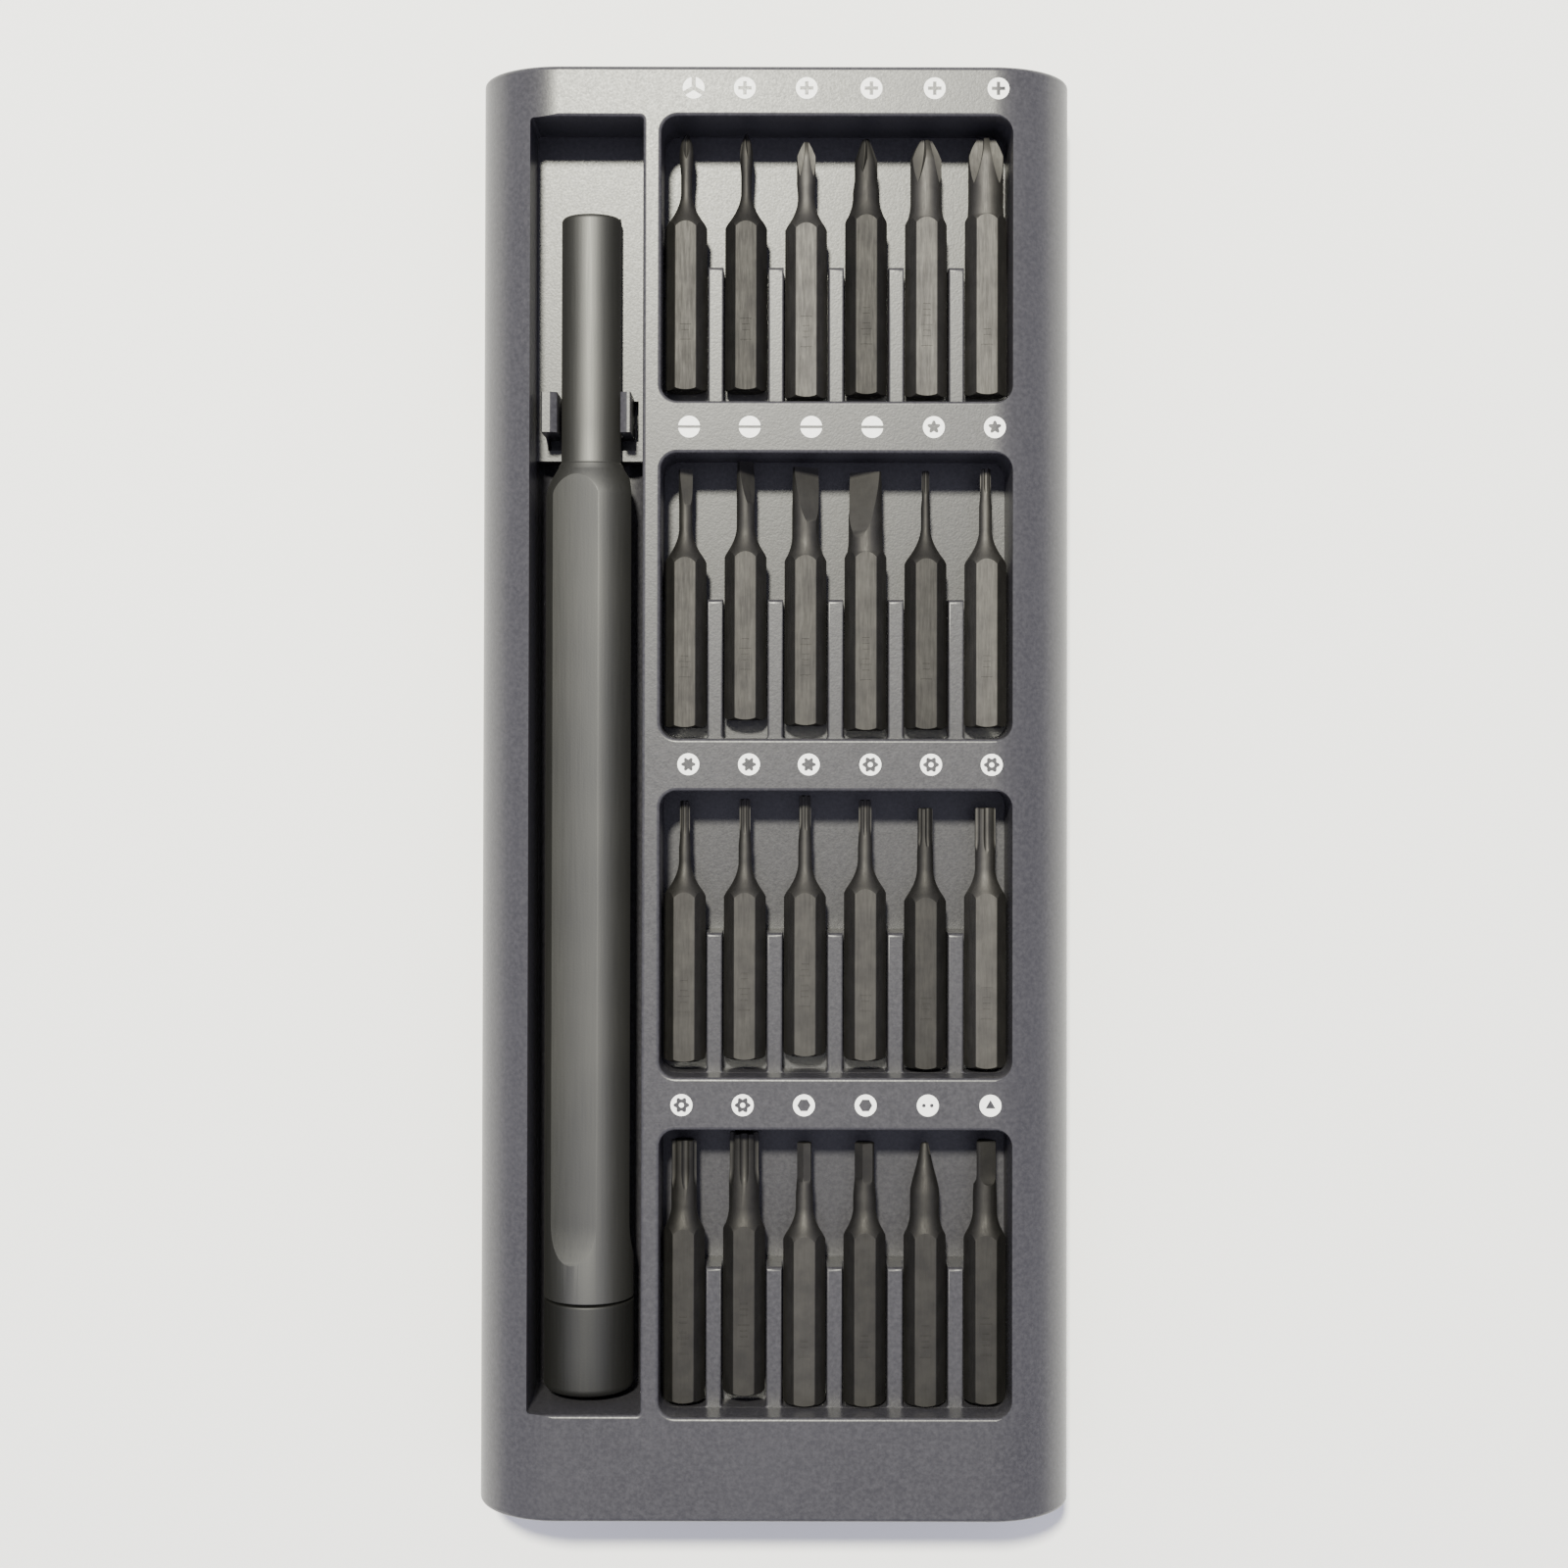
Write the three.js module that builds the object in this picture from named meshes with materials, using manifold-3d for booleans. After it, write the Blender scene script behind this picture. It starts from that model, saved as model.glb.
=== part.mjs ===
// Precision screwdriver set: a slim plastic tray with rounded long sides, a pen-sized driver held in a
// clip on its left, and four rows of six 4 mm hex bits on its right.
// Millimetres, +Z up. The tray lies on its flat underside, centred on the origin; +Y is the tips' end.
import * as THREE from "three";
import { mergeVertices } from "three/addons/utils/BufferGeometryUtils.js";
import Module from "manifold-3d";

const wasm = await Module();
wasm.setup();

// ---- Driving dimensions -------------------------------------------------------------------------
const CASE = { length: 156, width: 64.6, height: 18, skin: 1.6, parting: 6.5, seam: 0.3 };
const TUB_WALL = 1.2; // wall and floor of every pocket
const ROWS = 4;
const BITS_IN_ROW = 6;
const POCKET = { centreX: 6.56, width: 37.8, length: 30.65, top: 72.6, pitch: 36.27 };
const POCKET_CORNER = 1.75;
const POCKET_DEPTH = 9.6;
const RIB = { length: 15.15, depth: 4.0, pitch: 6.56, groove: 4.9, grooveDepth: 7.3 };
const MAGNET = { width: 32, length: 9, height: 2.2, roof: 1.0, gap: 0.05 };
const CHANNEL = { centreX: -20.4, width: 12.2, top: 72.5, bottom: -66.6, depth: 13.5 };
const LEDGE = { end: 36.4, depth: 9.25 }; // the raised floor on both sides of the driver's neck
const CRADLE = { r: 3.4, end: 63.4 }; // the round groove in the ledge that the neck lies in
const SADDLE = { halfWidth: 3.0, length: 2.0, gap: 0.05, at: [20, -35] }; // ribs that the grip lies on
const CLIP = { inner: 3.45, lead: 4.1, left: 5.15, right: 4.6, low: 39.0, high: 43.4 };
const CLIP_HEIGHT = { hook: 13.6, top: 14.4 };
const CLIP_WINDOW = { half: 4.9, low: 37.6 };
const BIT = { length: 28.3, acrossFlats: 4, hexEnd: 18.6, chamfer: 0.6, seat: 0.05 };
const HANDLE = { axisZ: 10, neckR: 3.3, bodyR: 4.95, nose: 63.15, neckEnd: 35.85, tail: -55.65 };
const SHOULDER_END = 32.35;
const FACET = { distance: 4.15, tiltDeg: 20, flatEnd: -47.1, runOut: 4.4, count: 3 };
const SOCKET = { outerR: 2.6, acrossFlats: 4.06, length: 12, gap: 0.03 };
const NOSE_EDGE = 0.5; // the rounding of the nose
const NOSE_MAGNET = { r: 2.0, length: 4, gap: 0.05 };
const CAP = { top: -56.05, end: -65.75, edge: 0.8, boreDepth: 5.0 };
const BEARING = { boreR: 1.5, innerR: 1.95, outerInnerR: 2.6, outerR: 3.0, width: 2.5, inset: 0.6 };
const BALL = { count: 7, r: 0.42, clearance: 0.06 };
const SCREW = { headR: 1.85, headLow: 0.2, shankR: 0.8, tip: 6.6 };
const SCREW_CROSS = { half: 0.95, width: 0.4, depth: 0.6 };
const SCREW_HOLE = { seat: 1.4, boreR: 2.0, holeR: 1.15, pilotR: 0.85 };
const BOSS = { r: 2.2, padR: 3.4, padTop: 2.6, gap: 0.05, spread: 12.8, endX: 18, endY: -72.4 };
const SIDES = { fine: 32, medium: 24, bit: 12, small: 10, curve: 10 };
const FAR = 200; // longer than anything here, for cutters

const topZ = CASE.height;
const middleZ = CASE.height / 2;
const floorZ = topZ - POCKET_DEPTH;
const ribZ = topZ - RIB.depth;
const grooveZ = topZ - RIB.grooveDepth;
const channelZ = topZ - CHANNEL.depth;
const ledgeZ = topZ - LEDGE.depth;
const bitAxisZ = grooveZ + BIT.seat + BIT.acrossFlats / 2;

// ---- Materials ----------------------------------------------------------------------------------
function finish(color, roughness, metalness) {
  return new THREE.MeshStandardMaterial({ color, roughness, metalness });
}

const MATERIALS = {
  plastic: finish(0x8b8a88, 0.55, 0.0),
  anodised: finish(0x66655f, 0.38, 0.9),
  steel: finish(0x6b6660, 0.34, 0.95),
  bright: finish(0xb4b4b2, 0.25, 1.0),
  magnet: finish(0x55565a, 0.45, 0.9),
  screw: finish(0x3a3a3c, 0.4, 0.9),
};

// ---- Solids -------------------------------------------------------------------------------------
// A closed geometry as a solid that can be joined and cut.
function solid(geometry) {
  const bare = new THREE.BufferGeometry().setAttribute("position", geometry.getAttribute("position"));
  bare.setIndex(geometry.index);
  const merged = mergeVertices(bare, 1e-4);
  const vertProperties = new Float32Array(merged.attributes.position.array);
  const triVerts = new Uint32Array(merged.index.array);
  return new wasm.Manifold(new wasm.Mesh({ numProp: 3, vertProperties, triVerts }));
}

// A solid back as a flat-shaded geometry.
function geometryOf(made) {
  const { numProp, vertProperties, triVerts, numVert } = made.getMesh();
  const position = new Float32Array(numVert * 3);
  for (let i = 0; i < numVert; i++) {
    position.set(vertProperties.subarray(i * numProp, i * numProp + 3), i * 3);
  }
  const geometry = new THREE.BufferGeometry();
  geometry.setAttribute("position", new THREE.BufferAttribute(position, 3));
  geometry.setIndex(new THREE.BufferAttribute(new Uint32Array(triVerts), 1));
  return geometry;
}

const union = (solids) => solids.reduce((sum, next) => sum.add(next));
const cut = (from, solids) => solids.reduce((rest, next) => rest.subtract(next), from);

function box(x0, x1, y0, y1, z0, z1) {
  const geometry = new THREE.BoxGeometry(x1 - x0, y1 - y0, z1 - z0);
  return solid(geometry.translate((x0 + x1) / 2, (y0 + y1) / 2, (z0 + z1) / 2));
}

// An outline in X and Y, raised from z0 to z1.
function raised(shape, z0, z1) {
  const settings = { depth: z1 - z0, bevelEnabled: false, curveSegments: 4 };
  return solid(new THREE.ExtrudeGeometry(shape, settings).translate(0, 0, z0));
}

// A profile in X and Z, drawn along Y from y0 to y1.
function alongY(shape, y0, y1, curveSegments = SIDES.curve) {
  const settings = { depth: y1 - y0, bevelEnabled: false, curveSegments };
  return solid(new THREE.ExtrudeGeometry(shape, settings).rotateX(Math.PI / 2).translate(0, y1, 0));
}

// A profile of [radius, y] pairs, turned about the Y axis. It starts and ends on the axis, or closes.
function turned(profile, sides = SIDES.fine) {
  return solid(new THREE.LatheGeometry(profile.map(([r, y]) => new THREE.Vector2(r, y)), sides));
}

// An upright cylinder, for bosses and holes.
function post(x, y, r, z0, z1, sides = SIDES.medium) {
  const geometry = new THREE.CylinderGeometry(r, r, z1 - z0, sides).rotateX(Math.PI / 2);
  return solid(geometry.translate(x, y, (z0 + z1) / 2));
}

// A prism along Y with a flat face up, from y0 to y1.
function prismY(sides, acrossCorners, y0, y1) {
  const geometry = new THREE.CylinderGeometry(acrossCorners / 2, acrossCorners / 2, y1 - y0, sides);
  return solid(geometry.rotateY(Math.PI / sides).translate(0, (y0 + y1) / 2, 0));
}

const hexCorners = (acrossFlats) => (2 * acrossFlats) / Math.sqrt(3);
const toRad = THREE.MathUtils.degToRad;

// Turns an outline drawn in X and Y into one in Y and Z, with its depth along X.
const AXES_YZX = new THREE.Matrix4().makeBasis(
  new THREE.Vector3(0, 1, 0),
  new THREE.Vector3(0, 0, 1),
  new THREE.Vector3(1, 0, 0),
);

// ---- Case ---------------------------------------------------------------------------------------
// The case's cross-section: two flats joined by half-round sides, drawn inset from the outer skin.
function caseSection(inset) {
  const r = CASE.height / 2 - inset;
  const halfFlat = CASE.width / 2 - CASE.height / 2;
  const shape = new THREE.Shape();
  shape.moveTo(-halfFlat, middleZ - r);
  shape.lineTo(halfFlat, middleZ - r);
  shape.absarc(halfFlat, middleZ, r, -Math.PI / 2, Math.PI / 2, false);
  shape.lineTo(-halfFlat, middleZ + r);
  shape.absarc(-halfFlat, middleZ, r, Math.PI / 2, (3 * Math.PI) / 2, false);
  return shape;
}

const wholeCase = () => alongY(caseSection(0), -CASE.length / 2, CASE.length / 2);

function caseHollow() {
  const half = CASE.length / 2 - CASE.skin;
  return alongY(caseSection(CASE.skin), -half, half);
}

function roundedRectangle(x0, x1, y0, y1, r) {
  const shape = new THREE.Shape();
  shape.moveTo(x0 + r, y0);
  shape.lineTo(x1 - r, y0);
  shape.absarc(x1 - r, y0 + r, r, -Math.PI / 2, 0, false);
  shape.lineTo(x1, y1 - r);
  shape.absarc(x1 - r, y1 - r, r, 0, Math.PI / 2, false);
  shape.lineTo(x0 + r, y1);
  shape.absarc(x0 + r, y1 - r, r, Math.PI / 2, Math.PI, false);
  shape.lineTo(x0, y0 + r);
  shape.absarc(x0 + r, y0 + r, r, Math.PI, 1.5 * Math.PI, false);
  return shape;
}

// The rectangle of one bit pocket: its sides, its tips' end and its far end.
function pocketEdges(row) {
  const high = POCKET.top - row * POCKET.pitch;
  return {
    left: POCKET.centreX - POCKET.width / 2,
    right: POCKET.centreX + POCKET.width / 2,
    high,
    low: high - POCKET.length,
    step: high - POCKET.length + RIB.length,
  };
}

const bitX = (column) => POCKET.centreX + (column - (BITS_IN_ROW - 1) / 2) * RIB.pitch;

// Where the base's screws go: under two rows of pockets, and under the plain margin at the far end.
function screwPlaces() {
  const inRow = (row) => {
    const y = (pocketEdges(row).high + pocketEdges(row).step) / 2;
    return [-1, 1].map((side) => [POCKET.centreX + side * BOSS.spread, y, floorZ]);
  };
  const atEnd = [-1, 1].map((side) => [side * BOSS.endX, BOSS.endY, topZ - CASE.skin / 2]);
  return [...inRow(0), ...inRow(2), ...atEnd];
}

// The space that one pocket leaves open: a deep recess under the tips, and a block that has a groove
// for each bit.
function pocketVoid(row) {
  const { left, right, high, low, step } = pocketEdges(row);
  const outline = raised(roundedRectangle(left, right, low, high, POCKET_CORNER), floorZ, topZ + 1);
  const block = box(left - 1, right + 1, low - 1, step, floorZ - 1, ribZ);
  // The outermost grooves run up to the pocket's side walls, so no sliver of rib is left there.
  const grooves = Array.from({ length: BITS_IN_ROW }, (_, column) => {
    const from = column === 0 ? left - 1 : bitX(column) - RIB.groove / 2;
    const to = column === BITS_IN_ROW - 1 ? right + 1 : bitX(column) + RIB.groove / 2;
    return box(from, to, low, step + 1, grooveZ, ribZ + 1);
  });
  return outline.subtract(cut(block, grooves));
}

// A box across the middle of one row's grooves, grown by a gap on its four sides.
function acrossGrooves(row, gap, z0, z1) {
  const { low, step } = pocketEdges(row);
  const x = POCKET.centreX;
  const y = (low + step) / 2;
  const halfX = MAGNET.width / 2 + gap;
  const halfY = MAGNET.length / 2 + gap;
  return box(x - halfX, x + halfX, y - halfY, y + halfY, z0, z1);
}

// The seat of one magnet bar, open below the block that the shanks lie on.
const magnetSeat = (row) => acrossGrooves(row, MAGNET.gap, 0, grooveZ - MAGNET.roof);

// One spring arm of the driver's clip, on the side given by its sign.
function clipArm(side) {
  const root = ledgeZ - TUB_WALL;
  const outer = side < 0 ? CLIP.left : CLIP.right;
  const points = [
    [CLIP.inner, root],
    [outer, root],
    [outer, CLIP_HEIGHT.top],
    [CLIP.lead, CLIP_HEIGHT.top],
    [CLIP.inner, CLIP_HEIGHT.hook],
  ];
  const outline = points.map(([x, z]) => new THREE.Vector2(CHANNEL.centreX + side * x, z));
  return alongY(new THREE.Shape(outline), CLIP.low, CLIP.high);
}

// The driver's channel: a deep run for the grip, a ledge with a cradle for the neck, and a window
// between the clip's arms.
function channelVoid() {
  const left = CHANNEL.centreX - CHANNEL.width / 2;
  const right = CHANNEL.centreX + CHANNEL.width / 2;
  const x = CHANNEL.centreX;
  const cradle = prismY(SIDES.fine, 2 * CRADLE.r, LEDGE.end - 1, CRADLE.end);
  return union([
    cradle.translate([x, 0, HANDLE.axisZ]),
    box(left, right, CHANNEL.bottom, LEDGE.end, channelZ, topZ + 1),
    box(left, right, LEDGE.end - 1, CHANNEL.top, ledgeZ, topZ + 1),
    box(x - CLIP_WINDOW.half, x + CLIP_WINDOW.half, CLIP_WINDOW.low, CLIP.low, 0, ledgeZ + 1),
    box(x - CLIP.inner, x + CLIP.inner, CLIP_WINDOW.low, CLIP.high, 0, ledgeZ + 1),
  ]);
}

// The walls and floors that the pockets and the channel hang in, still without their openings.
function tubs() {
  const pockets = Array.from({ length: ROWS }, (_, row) => {
    const { left, right, high, low } = pocketEdges(row);
    const wall = TUB_WALL;
    return box(left - wall, right + wall, low - wall, high + wall, floorZ - wall, topZ);
  });
  const left = CHANNEL.centreX - CHANNEL.width / 2 - TUB_WALL;
  const right = CHANNEL.centreX + CHANNEL.width / 2 + TUB_WALL;
  const underDeep = channelZ - TUB_WALL;
  const deep = box(left, right, CHANNEL.bottom - TUB_WALL, LEDGE.end + TUB_WALL, underDeep, topZ);
  const underCradle = HANDLE.axisZ - CRADLE.r - TUB_WALL;
  const ledge = box(left, right, LEDGE.end - TUB_WALL, CHANNEL.top + TUB_WALL, underCradle, topZ);
  return union([...pockets, deep, ledge]);
}

// A rib across the channel's floor that the grip lies on.
function saddle(y) {
  const low = channelZ - TUB_WALL / 2;
  const high = HANDLE.axisZ - HANDLE.bodyR - SADDLE.gap;
  const x = CHANNEL.centreX;
  const half = SADDLE.length / 2;
  return box(x - SADDLE.halfWidth, x + SADDLE.halfWidth, y - half, y + half, low, high);
}

function trayShell() {
  const outer = wholeCase();
  const half = box(-FAR, FAR, -FAR, FAR, CASE.parting + CASE.seam / 2, FAR);
  const skin = outer.intersect(half).subtract(caseHollow());
  const places = screwPlaces();
  const bosses = places.map(([x, y, high]) => post(x, y, BOSS.r, BOSS.padTop + BOSS.gap, high));
  const pilots = places.map(([x, y]) => post(x, y, SCREW_HOLE.pilotR, 0, SCREW.tip + 0.3, SIDES.small));
  const rows = Array.from({ length: ROWS }, (_, row) => row);
  const body = union([skin, tubs().intersect(outer), ...bosses]);
  const voids = [...rows.map(pocketVoid), ...rows.map(magnetSeat), channelVoid()];
  const opened = cut(body, [...voids, ...pilots]);
  return union([opened, clipArm(-1), clipArm(1), ...SADDLE.at.map(saddle)]);
}

function baseShell() {
  const half = box(-FAR, FAR, -FAR, FAR, -FAR, CASE.parting - CASE.seam / 2);
  const skin = wholeCase().intersect(half).subtract(caseHollow());
  const places = screwPlaces();
  const pads = places.map(([x, y]) => post(x, y, BOSS.padR, CASE.skin / 2, BOSS.padTop));
  const sinks = places.map(([x, y]) => post(x, y, SCREW_HOLE.boreR, -1, SCREW_HOLE.seat));
  const holes = places.map(([x, y]) => post(x, y, SCREW_HOLE.holeR, 0, BOSS.padTop + 1, SIDES.small));
  return cut(union([skin, ...pads]), [...sinks, ...holes]);
}

function magnetBar(row) {
  const high = grooveZ - MAGNET.roof - MAGNET.gap;
  return acrossGrooves(row, 0, high - MAGNET.height, high);
}

// A flat-headed screw with a cross recess, driven upwards from the underside.
function baseScrew([x, y]) {
  const head = post(x, y, SCREW.headR, SCREW.headLow, SCREW_HOLE.seat - BOSS.gap);
  const shank = post(x, y, SCREW.shankR, SCREW_HOLE.seat - BOSS.gap - 0.1, SCREW.tip, SIDES.small);
  const arm = [SCREW_CROSS.half, SCREW_CROSS.width / 2];
  const recess = [arm, [...arm].reverse()].map(([a, b]) =>
    box(x - a, x + a, y - b, y + b, 0, SCREW.headLow + SCREW_CROSS.depth),
  );
  return cut(head.add(shank), recess);
}

// ---- Driver -------------------------------------------------------------------------------------
// The grip's flat faces: a plane along the barrel that runs out in an arc before the tail.
function facetCutter(index) {
  const depth = HANDLE.bodyR - FACET.distance;
  const r = (FACET.runOut ** 2 + depth ** 2) / (2 * depth);
  const shape = new THREE.Shape();
  shape.moveTo(HANDLE.nose, FACET.distance);
  shape.lineTo(HANDLE.nose, 2 * HANDLE.bodyR);
  shape.lineTo(FACET.flatEnd - FACET.runOut, 2 * HANDLE.bodyR);
  shape.lineTo(FACET.flatEnd - FACET.runOut, HANDLE.bodyR);
  const sweep = Math.asin(FACET.runOut / r);
  shape.absarc(FACET.flatEnd, FACET.distance + r, r, -Math.PI / 2 - sweep, -Math.PI / 2, false);
  const settings = { depth: 4 * HANDLE.bodyR, bevelEnabled: false, curveSegments: 6 };
  const geometry = new THREE.ExtrudeGeometry(shape, settings);
  // The outline's X is the barrel's length and its Y the distance from the axis.
  geometry.translate(0, 0, -2 * HANDLE.bodyR);
  geometry.applyMatrix4(AXES_YZX);
  geometry.rotateY(-toRad(FACET.tiltDeg) + (index * 2 * Math.PI) / FACET.count);
  return solid(geometry);
}

function handleBarrel() {
  const { nose, neckEnd, tail, neckR, bodyR } = HANDLE;
  const shoulder = Array.from({ length: 6 }, (_, i) => {
    const t = (i + 1) / 6;
    return [neckR + (bodyR - neckR) * (1 - (1 - t) ** 1.5), neckEnd - (neckEnd - SHOULDER_END) * t];
  });
  const socketEnd = nose - SOCKET.length;
  const magnetEnd = socketEnd - NOSE_MAGNET.length - 2 * NOSE_MAGNET.gap;
  const profile = [
    [0, magnetEnd],
    [NOSE_MAGNET.r + NOSE_MAGNET.gap, magnetEnd],
    [NOSE_MAGNET.r + NOSE_MAGNET.gap, socketEnd],
    [SOCKET.outerR + SOCKET.gap, socketEnd],
    [SOCKET.outerR + SOCKET.gap, nose],
    [neckR - NOSE_EDGE, nose],
    [neckR - 0.3 * NOSE_EDGE, nose - 0.3 * NOSE_EDGE],
    [neckR, nose - NOSE_EDGE],
    [neckR, neckEnd],
    ...shoulder,
    [bodyR, tail + 0.2],
    [bodyR - 0.2, tail],
    [BEARING.outerR + 0.02, tail],
    [BEARING.outerR + 0.02, tail + BEARING.inset + BEARING.width + 0.1],
    [0, tail + BEARING.inset + BEARING.width + 0.1],
  ];
  const cutters = Array.from({ length: FACET.count }, (_, i) => facetCutter(i));
  return cut(turned(profile.reverse()), cutters);
}

function bitSocket() {
  const low = HANDLE.nose - SOCKET.length + SOCKET.gap;
  const sleeve = prismY(SIDES.fine, 2 * SOCKET.outerR, low, HANDLE.nose - 0.2);
  return sleeve.subtract(prismY(6, hexCorners(SOCKET.acrossFlats), 0, FAR));
}

function socketMagnet() {
  const high = HANDLE.nose - SOCKET.length - NOSE_MAGNET.gap;
  return prismY(SIDES.medium, 2 * NOSE_MAGNET.r, high - NOSE_MAGNET.length, high);
}

// A plain ring about the Y axis.
function ring(innerR, outerR, y0, y1) {
  return turned([[innerR, y0], [outerR, y0], [outerR, y1], [innerR, y1], [innerR, y0]], SIDES.medium);
}

const bearingY = HANDLE.tail + BEARING.inset + BEARING.width / 2;
const ballTrackR = (BEARING.innerR + BEARING.outerInnerR) / 2;

// The groove that the balls run in, as a ring of round section to cut from a race.
function ballTrack() {
  const geometry = new THREE.TorusGeometry(ballTrackR, BALL.r + BALL.clearance, 8, SIDES.medium);
  return solid(geometry.rotateX(Math.PI / 2).translate(0, bearingY, 0));
}

function race(innerR, outerR) {
  const half = BEARING.width / 2;
  return ring(innerR, outerR, bearingY - half, bearingY + half).subtract(ballTrack());
}

function ballRing() {
  const cage = ring(ballTrackR - 0.12, ballTrackR + 0.12, bearingY - 0.6, bearingY + 0.6);
  const balls = Array.from({ length: BALL.count }, (_, i) => {
    const turn = (i / BALL.count) * 2 * Math.PI;
    const ball = new THREE.IcosahedronGeometry(BALL.r, 1);
    return solid(ball.translate(ballTrackR * Math.cos(turn), bearingY, ballTrackR * Math.sin(turn)));
  });
  return union([cage, ...balls]);
}

function swivelCap() {
  const { top, end, edge, boreDepth } = CAP;
  const pinR = BEARING.boreR - 0.02;
  return turned([
    [0, end],
    [HANDLE.bodyR - edge - 1.6, end],
    [HANDLE.bodyR - edge, end + 0.1],
    [HANDLE.bodyR - 0.2, end + edge - 0.15],
    [HANDLE.bodyR, end + edge + 0.3],
    [HANDLE.bodyR, top - 0.2],
    [HANDLE.bodyR - 0.2, top],
    [pinR + 0.02, top],
    [pinR + 0.02, top - boreDepth],
    [0, top - boreDepth],
  ]);
}

function capPin() {
  const low = CAP.top - CAP.boreDepth + 0.1;
  return prismY(SIDES.fine, 2 * (BEARING.boreR - 0.04), low, bearingY + BEARING.width / 2);
}

// ---- Bits ---------------------------------------------------------------------------------------
// Each bit: its name, tip, the tip's half width, the turned shank's radius, and its distance from the
// far end of its pocket. The rows run from the tips' end of the tray, and each row from the left.
const BITS = [
  ["bit_three_wing_1", "wings", 0.75, 0.68, 1.58],
  ["bit_cross_000", "cross", 0.75, 0.68, 1.58],
  ["bit_cross_00", "cross", 1.0, 1.0, 0.79],
  ["bit_cross_0", "cross", 1.25, 1.5, 1.1],
  ["bit_cross_1", "cross", 1.75, 1.8, 0.94],
  ["bit_cross_2", "cross", 2.0, 2.05, 1.1],
  ["bit_slot_1_5", "slot", 0.75, 0.68, 1.13],
  ["bit_slot_2_0", "slot", 1.0, 1.05, 1.97],
  ["bit_slot_3_0", "slot", 1.5, 1.55, 1.37],
  ["bit_slot_4_0", "slot", 1.9, 1.95, 0.86],
  ["bit_five_lobe_2", "lobe5", 0.42, 0.55, 0.98],
  ["bit_five_lobe_5", "lobe5", 0.6, 0.75, 1.22],
  ["bit_six_lobe_2", "lobe6", 0.5, 0.72, 1.14],
  ["bit_six_lobe_3", "lobe6", 0.6, 0.75, 1.36],
  ["bit_six_lobe_4", "lobe6", 0.67, 0.78, 1.75],
  ["bit_six_lobe_5", "lobe6", 0.74, 0.82, 1.29],
  ["bit_six_lobe_6", "lobe6", 0.86, 0.9, 0.39],
  ["bit_six_lobe_8", "lobe6", 1.16, 1.05, 0.45],
  ["bit_six_lobe_10", "lobe6", 1.38, 1.3, 0.51],
  ["bit_six_lobe_15", "lobe6", 1.64, 1.7, 1.33],
  ["bit_hex_1_5", "hex", 0.85, 0.95, 0.2],
  ["bit_hex_2_0", "hex", 1.13, 1.3, 0.2],
  ["bit_fork_2_6", "fork", 0.5, 1.75, 0.2],
  ["bit_triangle_2_3", "triangle", 1.2, 1.35, 0.45],
];
const TIP_LENGTH = {
  wings: 1.8,
  cross: 2.2,
  slot: 2.6,
  lobe5: 3.2,
  lobe6: 4.4,
  hex: 3.4,
  fork: 5.6,
  triangle: 3.6,
};

// The outline that the bar is turned to, from its chamfered end to the start of the tip.
function turnedOutline(tip, tipR, shankR) {
  const { length, hexEnd, chamfer, acrossFlats } = BIT;
  const cornerR = hexCorners(acrossFlats) / 2;
  const barR = cornerR + 0.05;
  const flare = 1.2 + 1.6 * (cornerR - shankR);
  const tipStart = length - TIP_LENGTH[tip];
  const shankStart = Math.min(hexEnd + flare, tipStart - 0.3);
  const curve = [0.35, 0.7].map((t) => [
    shankR + (cornerR - shankR) * (1 - t) ** 1.8,
    hexEnd + (shankStart - hexEnd) * t,
  ]);
  const endR = { wings: 0.45 * tipR, cross: 0.4 * tipR, slot: tipR, fork: tipR }[tip] ?? tipR;
  const taper = { wings: 0.9, cross: 1.0 }[tip];
  const shoulder = taper
    ? [[tipR, tipStart + 0.5], [tipR, length - taper * tipR]]
    : [[tipR, tipStart + 0.4]];
  return [
    [0, 0],
    [cornerR - chamfer, 0],
    [barR, chamfer * 1.1],
    [barR, hexEnd - 0.05],
    [cornerR, hexEnd],
    ...curve,
    [shankR, shankStart],
    [shankR, tipStart],
    ...(tip === "fork" ? [] : shoulder),
    [endR, length],
    [0, length],
  ];
}

// Solids turned about the bit's axis, one for each flute.
function around(count, make) {
  return Array.from({ length: count }, (_, i) => make().rotate([0, (360 * i) / count, 0]));
}

// A V-shaped flute between two blades of a cross or three-wing tip, running out up the shank.
function flute(tipR, count) {
  const bladeHalf = 0.22 * tipR;
  const spread = Math.PI / count;
  const apex = bladeHalf / Math.sin(spread);
  const reach = 3 * tipR;
  const shape = new THREE.Shape();
  shape.moveTo(0, apex);
  shape.lineTo(reach * Math.sin(spread * 0.92), apex + reach * Math.cos(spread * 0.92));
  shape.lineTo(-reach * Math.sin(spread * 0.92), apex + reach * Math.cos(spread * 0.92));
  const length = 2.6 + 1.2 * tipR;
  const cutter = alongY(shape, 0, length + 2);
  const rise = Math.atan2(tipR - apex, length);
  return cutter.rotate([(-rise * 180) / Math.PI, 0, 0]).translate([0, BIT.length - length, tipR - apex]);
}

// An outline of [y, z] pairs, extruded across X through the whole bit.
function acrossX(points) {
  const shape = new THREE.Shape(points.map(([y, z]) => new THREE.Vector2(y, z)));
  const width = 2 * BIT.acrossFlats;
  const geometry = new THREE.ExtrudeGeometry(shape, { depth: width, bevelEnabled: false });
  geometry.translate(0, 0, -width / 2);
  return solid(geometry.applyMatrix4(AXES_YZX));
}

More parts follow.
